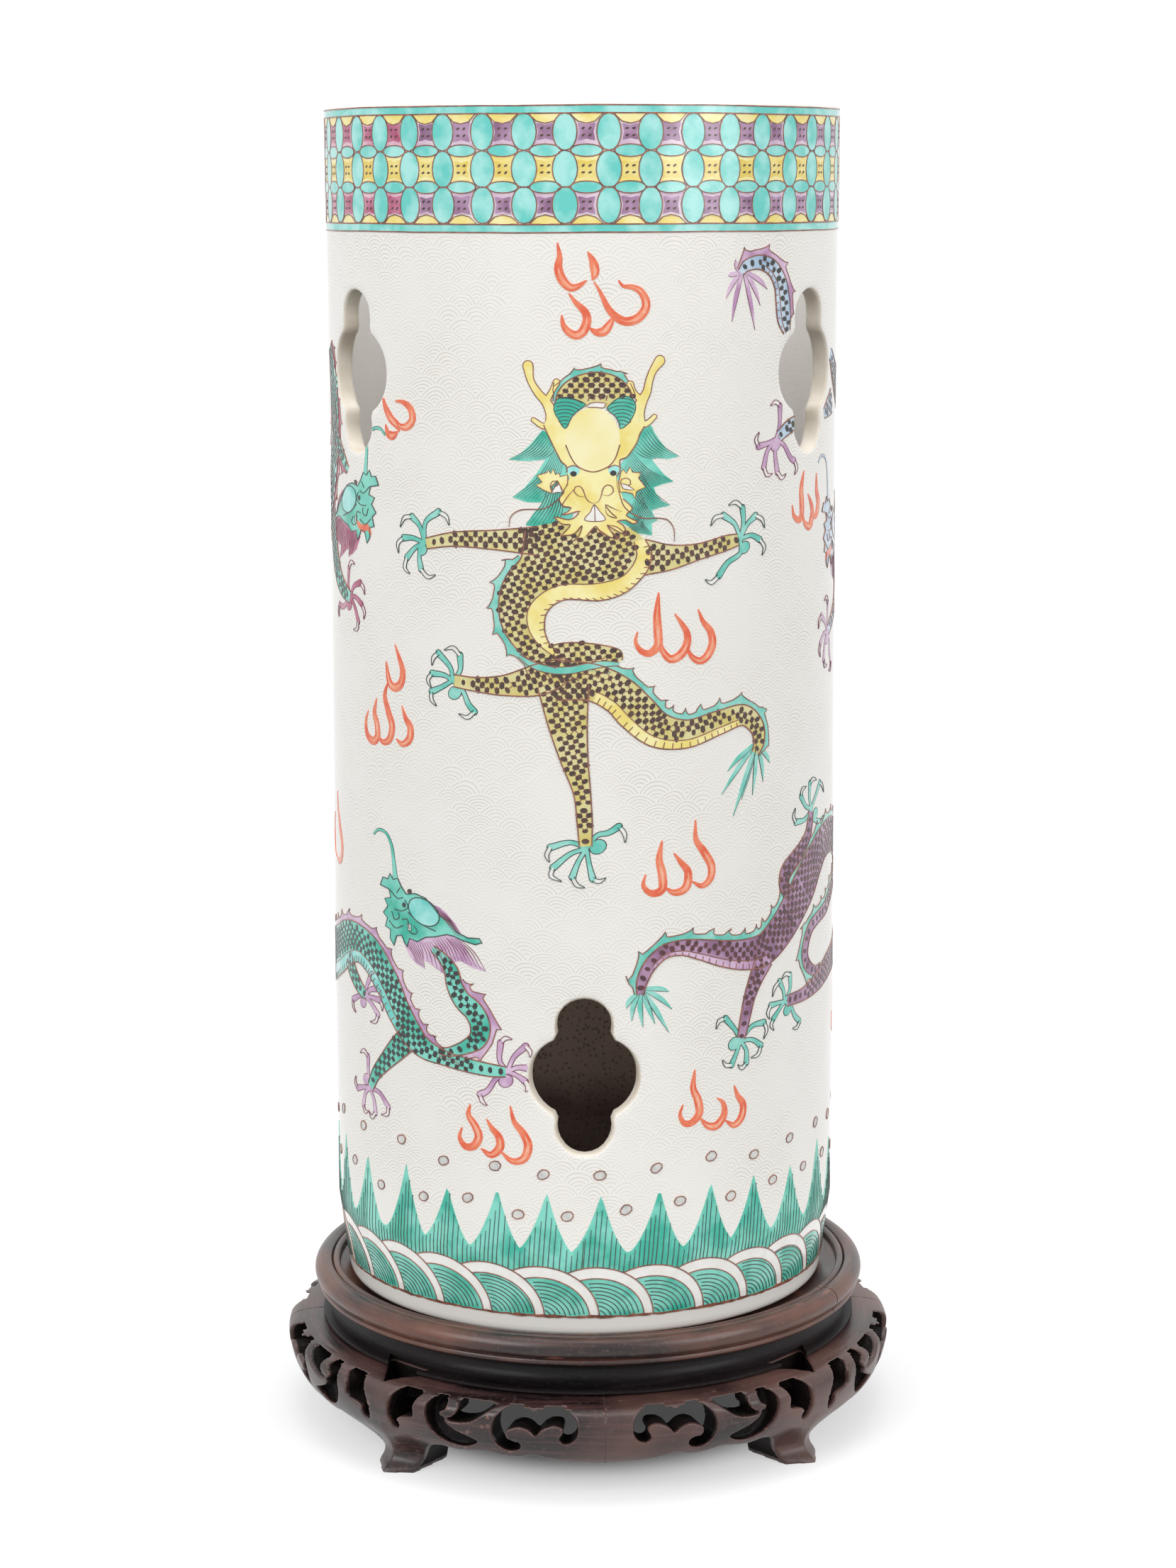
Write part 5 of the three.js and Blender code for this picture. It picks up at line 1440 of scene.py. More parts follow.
def striding_dragon(brush, colours):
    """The dragon that strides away round the tube, tail first, and looks back over its shoulder."""
    body = [(12.8, 80.6, 1.6), (13.3, 84, 2.6), (15.2, 87.6, 3), (18.6, 90.4, 3.2), (23, 91, 3.6),
        (28, 90, 4.8), (34, 88.4, 6.2), (40, 87.4, 7.2), (46, 87.8, 8.2), (52, 91.4, 9.2), (58, 96.6, 10.4),
        (63, 101, 11), (68, 105.4, 10), (74, 108.6, 8.8), (82, 109, 8.6), (91, 106, 9), (98, 100, 8.6),
        (103, 92, 8.2), (101, 84, 7.6), (94, 79.4, 7), (86, 78.4, 6.6), (78, 77.4, 6.2), (70, 75.4, 4.8),
        (62, 74, 3.2), (54.4, 73.8, 2.6)]
    neck = [(106, 97, 2), (100, 97.4, 3.4), (92, 97.6, 4), (84, 95.6, 3.6), (76, 92.2, 3.2), (70, 91, 3),
        (65.4, 89.4, 3), (62.8, 86, 3), (62.4, 82.6, 3), (64.4, 80, 2.8), (68, 78.4, 2.2), (72, 78.8, 1.2)]
    thigh = [(56, 99, 3), (53.2, 101.4, 3.4), (53.8, 104.8, 4.4), (57.6, 107.4, 4.2), (61, 109.6, 3.6),
        (64, 112.6, 3), (65.4, 117.4, 2.6)]
    scaled_limb(brush, colours, thigh)
    scaled_limb(brush, colours, [(46, 85.4, 6), (43.4, 81.4, 4.4), (41.4, 77.4, 3.4), (40.2, 73.4, 3),
            (39.2, 69.4, 2.6), (38.7, 67.6, 2.2)])
    scaled_limb(brush, colours, neck, fin=-1, fin_from=0.1, fin_to=0.95)
    scaled_limb(brush, colours, body, belly=-1, belly_from=0.05, belly_to=0.24, fin=1, fin_to=0.56)
    claw(brush, colours, (65.6, 118),
        [[(63, 119.6), (60.2, 121.8), (60.8, 123.4), (62.8, 123.8)],
            [(65.2, 121), (64.8, 124.2), (66.6, 125), (68.6, 124.4)],
            [(68.4, 119.8), (71, 123.4), (72.8, 122.4), (74, 120.6)],
            [(62, 116.8), (57.8, 116), (56.8, 117.6), (57.6, 119.4)],
            [(67.2, 116), (69.4, 114.4), (71.6, 113.8), (73, 114.2), (74, 115)]], (68, 116.4, 1.7))
    claw(brush, colours, (38.6, 67),
        [[(36.4, 69.4), (34.2, 73), (32.4, 72.6), (31.6, 70.8)],
            [(36.8, 64.4), (36, 61.6), (34.4, 61.8), (33.4, 63.2)],
            [(39.8, 64.2), (40.4, 61.4), (39, 60.4), (37.8, 61.4)],
            [(42, 66), (45, 64.8), (44, 62.8), (41.8, 62.4)],
            [(42.4, 69.2), (46, 70.2), (46.8, 68.2), (45.8, 66.2)]], (36.8, 66.6, 1.9))
    claw(brush, colours, (53.4, 73.8),
        [[(52.4, 76.4), (51.4, 79), (49.6, 77.8), (48.8, 75.8)],
            [(55, 76.6), (55.6, 79.8), (53.8, 80.4), (52.2, 79.4)],
            [(50.8, 73.4), (48.2, 73.8), (47.2, 72.2), (47.8, 70.6)],
            [(51.4, 71.6), (49.2, 70.4), (48.4, 69), (49.4, 67.6)],
            [(55.4, 71.4), (57.6, 69.6), (60, 67.6), (58.6, 66.4), (56.8, 66.6)]], (54.6, 71.6, 1.7))
    tips = [(9.6, 77.6), (10.8, 74.6), (13.4, 73), (16.2, 73.6), (19.6, 71.4), (20.4, 76.8), (19.6, 81)]
    tuft(brush, colours, (13.2, 81.6), tips)
    side_head(brush, colours, (112, 103))


random.seed(5)
winding_dragon(Brush("winding_dragon"), green)
striding_dragon(Brush("striding_dragon"), plum)
print("winding and striding dragons drawn")


# %% Dragons at the sides of the upper row
def left_dragon(brush, colours):
    """The dragon that comes round the left side with its head low and one claw forward."""
    body = [(-84, 226, 5), (-80.4, 218, 8), (-79.4, 208, 9), (-82, 198, 9.4), (-88, 190, 10),
        (-96, 186, 10.4), (-105, 188, 10), (-112, 196, 9), (-115, 206, 8), (-111, 216, 6.6), (-103, 220, 5),
        (-97, 215, 3.6), (-96, 208, 2.4)]
    scaled_limb(brush, colours, [(-84, 186, 8), (-80, 177, 6.4), (-76, 172, 5), (-71.6, 169.4, 4),
            (-68, 168.2, 2.8)])
    scaled_limb(brush, colours, [(-104, 184, 6), (-103, 176, 4.4), (-107, 168, 3.4), (-109, 161, 2.8)])
    scaled_limb(brush, colours, body, belly=-1, belly_from=0.2, belly_to=0.7, fin=1, fin_to=0.92)
    claw(brush, colours, (-67.6, 168.2),
        [[(-68.4, 171), (-68.6, 175), (-67, 176.6), (-65, 176.2)],
            [(-65.4, 170.4), (-62.2, 172.2), (-60.6, 171.2), (-60, 169.6)],
            [(-65, 168), (-61.6, 167.2), (-60.2, 165.6), (-60.6, 163.8)],
            [(-66, 166), (-63.4, 163), (-64, 161.2), (-66, 160.8)],
            [(-69.6, 166), (-73, 165.4), (-76, 165.6), (-77, 164), (-76.6, 162.6)]], (-68.6, 166.4, 1.7))
    claw(brush, colours, (-109, 160.6),
        [[(-111.4, 159.6), (-114.6, 158.6), (-115.8, 157), (-115, 155.6)],
            [(-110.6, 157.4), (-112, 154), (-110.8, 152.6), (-109.2, 153)],
            [(-108.4, 157.4), (-107.6, 153.8), (-106, 153.2), (-104.8, 154.4)],
            [(-106.4, 159), (-103.4, 157.4), (-102, 158.2), (-102, 160)],
            [(-107, 161.8), (-104, 163.2), (-102.4, 164.8), (-102.8, 166.4), (-104, 167)]],
        (-109.4, 159.4, 1.6))
    tuft(brush, colours, (-96, 208.6), [(-99, 201), (-95, 199), (-91.6, 202), (-91, 207), (-100.4, 204)])
    scaled_limb(brush, colours, [(-68.6, 198, 1.6), (-73, 201.4, 3.4), (-78, 206, 4.6), (-81, 213, 5)],
        fin=1)
    side_head(brush, colours, (-66, 189.4), -1, tongue=True)


def right_dragon(brush, colours):
    """The dragon whose tail curls over the right opening and whose body goes on behind it."""
    tail = [(37.8, 243.6, 1.8), (39.6, 245.2, 2.6), (43.6, 245.8, 3.2), (47.6, 244.4, 3.8),
        (50.4, 241, 4.4), (51.4, 237, 5), (52, 233, 4.8), (53, 230, 2.4)]
    scaled_limb(brush, colours, tail, belly=-1, belly_from=0.35, belly_to=1.0, fin=1, fin_to=0.92)
    ends = [(33.8, 238), (35.4, 232.8), (42.2, 230.8), (43.8, 236.2), (34.4, 243), (46, 239.8),
        (36.4, 246.6)]
    tuft(brush, colours, (38.6, 243.6), ends)
    arm = [(57, 209.4, 3), (54, 208.4, 3.2), (50.6, 206.6, 2.6)]
    scaled_limb(brush, colours, arm)
    claw(brush, colours, (49.6, 206),
        [[(50, 209.4), (50.8, 213.4), (49.2, 214.4), (47.4, 213.6)],
            [(46.8, 205.8), (43.6, 204.6), (42.8, 206.2), (43.8, 207.8)],
            [(47.2, 203), (45.4, 199.8), (46.4, 198), (48.2, 198.2)],
            [(50, 202.6), (50, 198.4), (51.6, 197), (53.2, 197.8)],
            [(52, 203.6), (55, 201.4), (56.6, 200.6), (57.6, 198.8), (56.6, 197.4)]], (49.4, 204.6, 1.8))
    body = [(78, 224, 3), (84, 219, 6), (91, 216, 8.4), (99, 217, 9.6), (107, 212, 10), (110, 203, 10),
        (106, 194, 9.6), (99, 188, 8.6), (92.4, 184.6, 6), (88, 183, 3.4)]
    scaled_limb(brush, colours, [(80, 213, 6), (76, 211.6, 4.4), (73, 210.4, 2.4)])
    scaled_limb(brush, colours, [(101, 184, 6), (96, 174, 5), (90, 165.4, 3.8), (82, 161, 3),
            (77.6, 159, 2.4)])
    scaled_limb(brush, colours, [(110, 196, 6), (117, 189, 4.6), (121, 181, 3.6), (125, 174, 2.8)])
    scaled_limb(brush, colours, body, belly=1, belly_from=0.25, belly_to=0.8, fin=-1, fin_from=0.2)
    claw(brush, colours, (77, 158.6),
        [[(76.6, 161.4), (77.4, 165.4), (76, 167), (74, 166.4)],
            [(74.4, 160.6), (71.6, 163), (70, 162), (69.6, 160.2)],
            [(74, 158), (71, 156.6), (70.2, 155), (71, 153.4)],
            [(75.4, 156.2), (73.6, 152.4), (74.6, 150.8), (76.4, 151)],
            [(78.4, 156.4), (79.6, 153.4), (81.4, 151), (80.4, 149.2), (78.8, 149.2)]], (76.6, 157.2, 1.8))
    claw(brush, colours, (125.4, 173.4),
        [[(124, 170.6), (122, 168), (122.6, 166.4), (124.4, 166.2)],
            [(126, 170.4), (126.6, 167), (128.2, 166.4), (129.4, 167.6)],
            [(128, 172), (131, 170.4), (132.4, 171.2), (132.4, 172.8)],
            [(127.6, 174.6), (130.6, 176), (131, 177.6), (129.8, 178.8)],
            [(123.6, 175.4), (121, 176.8), (119.6, 178.8), (118.4, 178.4), (117.8, 177)]],
        (125.8, 172.4, 1.6))
    side_head(brush, colours, (84, 181.6), 1, tongue=True)


random.seed(6)
left_dragon(Brush("left_dragon"), leaf)
right_dragon(Brush("right_dragon"), sky)
print("left and right dragons drawn")

# %% [markdown]
# ## The far side
# The photograph shows only the front, so the far side is a guess in the same manner: a second facing dragon
# in plum and a second winding one in rose.

# %% Dragons on the far side
random.seed(8)
facing_dragon(Brush("far_facing_dragon", turn_length / 2 - 4, -18, -1), plum)
winding_dragon(Brush("far_winding_dragon", 252, -8), blush)
print("far dragons drawn")

# %% [markdown]
# ## Enamel finishes
# Famille-rose enamels are lead glass with a metal oxide: copper for turquoise and green, tin and lead for
# yellow, manganese for purple, gold for rose, iron for the coral and for the drawn line. Each melts to a
# smooth gloss that is paler where it lies thin and deeper where it pooled.


# %% Enamels
def enamel(name, thin, pooled, pool_mm, roughness=0.14):
    """A glassy enamel that goes from its thin to its pooled colour in soft clouds."""
    material, tree, shader, place = new_finish(name, roughness, 1.55)
    shader.inputs["Coat Weight"].default_value = 0.25
    shader.inputs["Coat Roughness"].default_value = 0.08
    pools = add_node(tree, "TexNoise", {"Scale": 1 / (pool_mm * MM), "Detail": 3.0}, {"Vector": place})
    share = add_node(tree, "MapRange", {"From Min": 0.38, "From Max": 0.62}, {"Value": pools})
    colour = add_node(tree, "MixRGB", {"Color1": linear(thin), "Color2": linear(pooled)}, {"Fac": share})
    join(tree, colour, shader.inputs["Base Color"])
    bump = add_node(tree, "Bump", {"Strength": 0.2, "Distance": 0.1 * MM}, {"Height": share})
    join(tree, bump, shader.inputs["Normal"])
    return material


enamels = {"turquoise": enamel("turquoise_enamel", "#a9eae4", "#62d0c6", 6),
    "teal": enamel("copper_green_enamel", "#82dbc9", "#26b49b", 8),
    "fin_green": enamel("pale_copper_green_enamel", "#9addd0", "#5fc5b4", 5),
    "yellow": enamel("lead_tin_yellow_enamel", "#f9f0ae", "#f1dd78", 6),
    "olive": enamel("thin_yellow_over_line", "#e2daa2", "#d5c772", 5),
    "pale_purple": enamel("palest_purple_enamel", "#e4d0de", "#cdb0ca", 5),
    "pale_rose": enamel("palest_rose_enamel", "#e6bfcd", "#d396b0", 5),
    "pale_yellow": enamel("thin_yellow_enamel", "#fbf5cb", "#f5e795", 16),
    "deep_yellow": enamel("pooled_yellow_enamel", "#f3e28e", "#e8cd5c", 4),
    "purple": enamel("manganese_purple_enamel", "#b590b1", "#8a6084", 6),
    "lilac": enamel("thin_purple_enamel", "#ddc0da", "#b78ab4", 6),
    "rose": enamel("gold_rose_enamel", "#c97a99", "#ab3f68", 5),
    "coral": enamel("iron_red_enamel", "#ef8560", "#e35f3a", 3, 0.2),
    "pale_coral": enamel("thin_iron_red_enamel", "#f8b597", "#f1936d", 2, 0.2),
    "pale_blue": enamel("thin_blue_enamel", "#c9dcea", "#9bb9d6", 6),
    "pale_grey": enamel("ink_grey_wash", "#dcdcd8", "#c6c6c4", 2),
    "white": enamel("opaque_white_enamel", "#f6f5f1", "#eeece6", 4),
    "plum_line": enamel("drawn_plum_line", "#8a4f66", "#6c364d", 2, 0.3),
    "brown_line": enamel("iron_brown_line", "#9a6350", "#6f4437", 2, 0.3),
    "dark_line": enamel("dark_drawn_line", "#3f4f49", "#27332f", 2, 0.3),
    "dark_dot": enamel("dark_brown_spot", "#55382c", "#35211c", 1.5, 0.25),
    "black_dot": enamel("black_spot", "#2b2f2f", "#171a1c", 1.5, 0.25),
    "wine_dot": enamel("wine_brown_spot", "#5b2b32", "#3d1a22", 1.5, 0.25)}
print("enamels:", len(enamels))

# %% Roll the drawings on to the tube
STRIP = 2.6
SUNK = 0.05


def rolled(name, flat):
    """One colour of a painted piece: split into strips, rolled on to the glaze and thickened."""
    drawn = bmesh.new()
    height = drawn.verts.layers.float.new("proud")
    corners = []
    for (across, up), proud in zip(flat["points"], flat["proud"]):
        corner = drawn.verts.new((across, up, 0))
        corner[height] = proud
        corners.append(corner)
    for face in flat["faces"]:
        drawn.faces.new([corners[i] for i in face])
    drawn.normal_update()
    if flat["split"]:
        bmesh.ops.triangulate(drawn, faces=drawn.faces[:])
        low = min(p[0] for p in flat["points"])
        high = max(p[0] for p in flat["points"])
        for i in range(math.floor(low / STRIP) + 1, math.ceil(high / STRIP)):
            geometry = drawn.verts[:] + drawn.edges[:] + drawn.faces[:]
            bmesh.ops.bisect_plane(drawn, geom=geometry, plane_co=(i * STRIP, 0, 0), plane_no=(1, 0, 0),
                dist=1e-4)
    for bend in profile_heights[1:-1]:
        geometry = drawn.verts[:] + drawn.edges[:] + drawn.faces[:]
        level = (0, bend + tube_bottom - drawing_floor, 0)
        bmesh.ops.bisect_plane(drawn, geom=geometry, plane_co=level, plane_no=(0, 1, 0), dist=1e-4)
    cut = [f for f in drawn.faces if in_opening(f.calc_center_median().x, f.calc_center_median().y, 0.7)]
    bmesh.ops.delete(drawn, geom=cut, context="FACES")
    for corner in drawn.verts:
        corner.co = on_tube(corner.co.x, corner.co.y, corner[height])
    mesh = bpy.data.meshes.new(name)
    drawn.to_mesh(mesh)
    drawn.free()
    piece = bpy.data.objects.new(name, mesh)
    scene.collection.objects.link(piece)
    thickness = (max(flat["proud"]) + SUNK) * MM
    apply_modifier(piece, "SOLIDIFY", thickness=thickness, offset=-1)
    bpy.ops.object.shade_smooth_by_angle(angle=math.radians(35))
    return piece


painted_faces = 0
for (part, colour, level), flat in paintings.items():
    piece = rolled(part + "_" + colour + "_" + level, flat)
    dress(piece, enamels[colour])
    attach(piece, "tube")
    painted_faces += len(piece.data.polygons)
print("painted pieces:", len(paintings), "faces", painted_faces)

# %% [markdown]
# ## The carved stand
# The stand is turned and carved from dark rosewood. Its rim and waist are spun from fine sections. Each leg
# is worked as a carver does it: a turned blank, hollowed behind, sawn along its lower edge, pierced, gouged
# and notched, and then all edges are eased at once by a fine remesh. One leg is carved and turned four ways.

# %% Sections and outlines of the stand
leg_turns = [-42, 48, 138, 228]
leg_half_turn = 45.12
panel_half_turn = 45
rim_joint = 62
joint_gap = 0.3
apron_radius = 75.0
apron_height = 23.3

rim_section = [(53, 30.9)] + arc_points((66.5, 31.7), 0.8, -90, 60)
rim_section += arc_points((65.5, 34.7), 2.7, -52, 120, 26)
rim_section += arc_points((62.95, 36.25), 0.95, -10, 180) + [(62, 36), (62, 35.2), (61.8, 35), (53, 35)]
rim_section += [(53, 33.6), (55.5, 33.6), (55.5, 32.0), (53, 32.0)]
waist_section = [(55, 23.6), (65.9, 23.6), (66.2, 23.75), (66.2, 24.3), (65.9, 24.5)]
waist_section += arc_points((64.7, 27.94), 3.5, 180 + 79.4, 180 - 49.5, 24) + [(62.6, 30.6), (55, 30.6)]
face_knots = [(0.906, 0), (0.901, 0.04), (0.885, 0.095), (0.882, 0.16), (0.9, 0.25), (0.928, 0.345),
    (0.96, 0.45), (0.985, 0.6), (0.998, 0.76), (0.999, 0.86), (0.989, 0.92), (0.965, 0.965), (0.933, 0.988),
    (0.9, 1)]
face_line = smooth_path([(r * apron_radius, h * apron_height) for r, h in face_knots], 0.6)
face_line[0][1] = 0
blank_section = [(56.0, 0)] + [tuple(p) for p in face_line] + [(56.0, apron_height)]
hollow_section = [(54, -2), (65.2, -2), (68.0, 21.4), (54, 21.4)]

# Outlines of the carving on half a panel: degrees from its middle, and mm up.
lower_edge = [(0, 8.6), (5, 8.9), (8.5, 9.3), (11, 10.1), (13.2, 10.9), (15.2, 10.2), (17.5, 9.7),
    (20, 10.1), (22.3, 10.8), (24.5, 10.4), (27.5, 9.8), (29.5, 9.8), (31.3, 10.3), (33.2, 9.9),
    (35.2, 8.6), (36.9, 6.8), (38.3, 5), (39.3, 3.4), (39.9, 1.8), (40.1, 0)]
double_scroll = [(4.9, 18.6), (5.1, 20.2), (5.9, 21.6), (7.3, 22.4), (9, 22.7), (10.6, 22.5), (12, 22.1),
    (13.4, 22), (14.7, 22.3), (16.5, 22.6), (18, 22.2), (19.2, 21.2), (20.1, 19.7), (20.6, 17.5),
    (20.5, 15.4), (19.9, 13.5), (18.8, 12.1), (17.2, 11.7), (15.9, 12.3), (15.4, 13.5), (15.8, 14.6),
    (16.8, 14.9), (17.7, 15.1), (18.1, 16.2), (17.9, 17.2), (17, 17.9), (15.7, 18.4), (14.4, 18.1),
    (13.3, 17.2), (12.6, 16.25), (12, 17.2), (11.2, 18.2), (9.9, 19), (8.6, 19.1), (7.7, 18.5), (7.5, 17.7),
    (8, 16.6), (8.3, 15.5), (7.8, 14.6), (6.7, 14.5), (5.6, 15.5), (5, 17)]
ribbon_gap = [(30, 23.0), (19.4, 23.0), (20.4, 22.1), (22, 20.7), (23.4, 19.4), (25, 18.3), (27, 17.8),
    (29.1, 17.9), (29.3, 18.5), (28.2, 19), (27.4, 20), (27.1, 21.1), (27.3, 22.1), (28.2, 22.8)]
crescent = [(33.8, 22.9), (37, 22.9), (39.4, 22.6), (40.8, 21.8), (41.7, 20.2), (42.3, 18), (42.6, 16),
    (42.3, 14), (41.6, 12.4), (40.6, 12.8), (40.2, 14), (40.5, 15.2), (39.4, 16.1), (36.6, 17),
    (36.5, 19.5), (36, 21.1), (35.2, 22.3)]
curl_gouge = [(31.2, 22.8), (32.8, 22), (33.6, 20.4), (33.8, 18.2), (33.4, 15.8), (32.3, 13.8),
    (30.6, 12.2), (28.4, 11.4), (26, 11.5), (24, 12.7), (23.4, 13.5), (25.2, 14.4), (27, 15.3),
    (28.7, 16.4), (29.7, 17.6), (29.5, 18.5), (30.6, 19), (30.7, 19.8), (29.8, 20.2), (29.4, 21.2),
    (29.9, 22.4)]
print("stand outlines:", sum(len(o) for o in (double_scroll, ribbon_gap, crescent, curl_gouge)), "points")


# %% Carving tools
def around(radius, degrees, height):
    """A point of the stand at a radius and azimuth, in metres."""
    turn = math.radians(degrees)
    return (radius * math.sin(turn) * MM, -radius * math.cos(turn) * MM, height * MM)


def lofted(name, rings, whole=False):
    """A closed solid through rings of points, which go right round or end in two flat faces."""
    size, count = len(rings[0]), len(rings)
    faces = []
    for i in range(count if whole else count - 1):
        here, there = i * size, ((i + 1) % count) * size
        for k in range(size):
            after = (k + 1) % size
            faces.append((here + k, there + k, there + after, here + after))
    if not whole:
        faces += [tuple(range(size)), tuple((count - 1) * size + k for k in reversed(range(size)))]
    piece = piece_from(name, [p for ring in rings for p in ring], faces)
    face_outwards(piece)
    return piece


def spun(name, section, start, stop, steps):
    """A section spun round the axis of the stand."""
    whole = stop - start >= 360
    turns = [start + (stop - start) * i / steps for i in range(steps if whole else steps + 1)]
    return lofted(name, [[around(r, turn, z) for r, z in section] for turn in turns], whole)


def chisel(outline, inner, mirror=1, smooth=True):
    """A cutter with this outline on the curved wall. The inner radius may be a rule of the height."""
    path = smooth_path(outline, 0.7, closed=True) if smooth else outline
    floor_of = inner if callable(inner) else lambda up: inner
    near = [around(floor_of(p[1]), mirror * p[0], p[1]) for p in path]
    far = [around(79.0, mirror * p[0], p[1]) for p in path]
    return lofted("chisel", [near, far])


def cut(piece, cutter):
    """Takes the cutter's shape out of a piece and throws the cutter away."""
    apply_modifier(piece, "BOOLEAN", operation="DIFFERENCE", solver="MANIFOLD", object=cutter)
    bpy.data.objects.remove(cutter)


def notch_cutter(degrees):
    """The wedge cut into the shoulder and the waist over a leg."""
    corners = [(62.1, -7.8), (72.0, 0), (62.1, 7.8)]
    points = [around(r, degrees + a, z) for z in (18.3, 24.9) for r, a in corners]
    faces = [(0, 1, 2), (5, 4, 3), (0, 3, 4, 1), (1, 4, 5, 2), (2, 5, 3, 0)]
    piece = piece_from("chisel", points, faces)
    face_outwards(piece)
    return piece


def gouge_floor(height):
    """The radius of the curl's floor: shallow at its tail and deeper under the curl."""
    face = np.interp(height, [p[1] for p in face_line], [p[0] for p in face_line])
    return face - 1.9 - 3.2 * min(1, max(0, (height - 12.5) / 5))


FLARE_REACH = 4.8
FLARE_HALF_TURN = 5.6
FLARE_TOP = 13
FLARE_INNER = 57
FLARE_FULL = 66


def flare_foot(piece):
    """Draws the foot out to a corner at its middle, more and more towards the toe."""
    for corner in piece.data.vertices:
        x, y, z = corner.co / MM
        turn = abs(math.degrees(math.atan2(x, -y)))
        radius = math.hypot(x, y)
        out = FLARE_REACH * max(0, 1 - turn / FLARE_HALF_TURN) * max(0, 1 - z / FLARE_TOP) ** 1.3
        out *= min(1, max(0, (radius - FLARE_INNER) / (FLARE_FULL - FLARE_INNER)))
        corner.co.x += x / radius * out * MM
        corner.co.y += y / radius * out * MM


# %% Carve one leg
# The leg is carved at azimuth 0, with half a panel on each side of it. The crescent is pierced up to a
# height, and only gouged above that.
CRESCENT_PIERCED = 17.6
leg = spun("carved_leg", blank_section, -leg_half_turn, leg_half_turn, 90)
for side in (-1, 1):
    cut(leg, spun("chisel", hollow_section, min(side * 8, side * 47), max(side * 8, side * 47), 40))

    def on_side(outline, highest=22.6):
        """An outline of half a panel, measured from the leg's middle, and kept under the shoulder."""
        return [(panel_half_turn - a, min(z, highest)) for a, z in outline]

    edge = smooth_path([(-2, 8.6)] + lower_edge, 0.8)
    saw = []
    for away, up in edge:
        below = [(53, -3), (79, -3), (79, up), (53, up)]
        saw.append([around(r, side * (panel_half_turn - away), z) for r, z in below])
    cut(leg, lofted("chisel", saw))
    cut(leg, chisel(on_side(double_scroll), 63.2, side))
    cut(leg, chisel(on_side(ribbon_gap), 67.4, side))
    cut(leg, chisel(on_side(crescent), 66.5, side))
    low_part = [p for p in on_side(crescent) if p[1] < CRESCENT_PIERCED]
    low_part = [(low_part[0][0], CRESCENT_PIERCED)] + low_part + [(low_part[-1][0], CRESCENT_PIERCED)]
    inner_part = [[around(r, side * a, z) for a, z in low_part] for r in (54, 66.9)]
    cut(leg, lofted("chisel", inner_part))
    cut(leg, chisel(on_side(curl_gouge), gouge_floor, side))
cut(leg, notch_cutter(0))
apply_modifier(leg, "REMESH", mode="VOXEL", voxel_size=0.35 * MM, adaptivity=0)
flare_foot(leg)
apply_modifier(leg, "SMOOTH", factor=0.5, iterations=1)
bpy.ops.object.shade_smooth()
print("carved leg:", len(leg.data.polygons), "faces")

# %% Set up the stand
wood_pieces = []
for turn, corner in zip(leg_turns, ("front_left", "front_right", "back_right", "back_left")):
    pick(leg)
    bpy.ops.object.duplicate()
    carved = bpy.context.object
    carved.name = "carved_leg_" + corner
    carved.rotation_euler = (0, 0, math.radians(turn))
    bpy.ops.object.transform_apply(location=False, rotation=True, scale=False)
    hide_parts("apron_leg_" + corner)
    wood_pieces.append(carved)
bpy.data.objects.remove(leg)
rim_middle = 62
slack = math.degrees(joint_gap / 2 / rim_middle)
for start, half in ((rim_joint - 180, "front"), (rim_joint, "back")):
    rim = spun("turned_rim_" + half, rim_section, start + slack, start + 180 - slack, 160)
    bpy.ops.object.shade_smooth_by_angle(angle=math.radians(50))
    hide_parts("rim_half_" + half)
    wood_pieces.append(rim)
waist = spun("turned_waist", waist_section, 0, 360, 320)
for turn in leg_turns:
    cut(waist, notch_cutter(turn))
pick(waist)
bpy.ops.object.shade_smooth_by_angle(angle=math.radians(35))
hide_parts("waist_ring")
wood_pieces.append(waist)
print("stand pieces:", [p.name for p in wood_pieces])
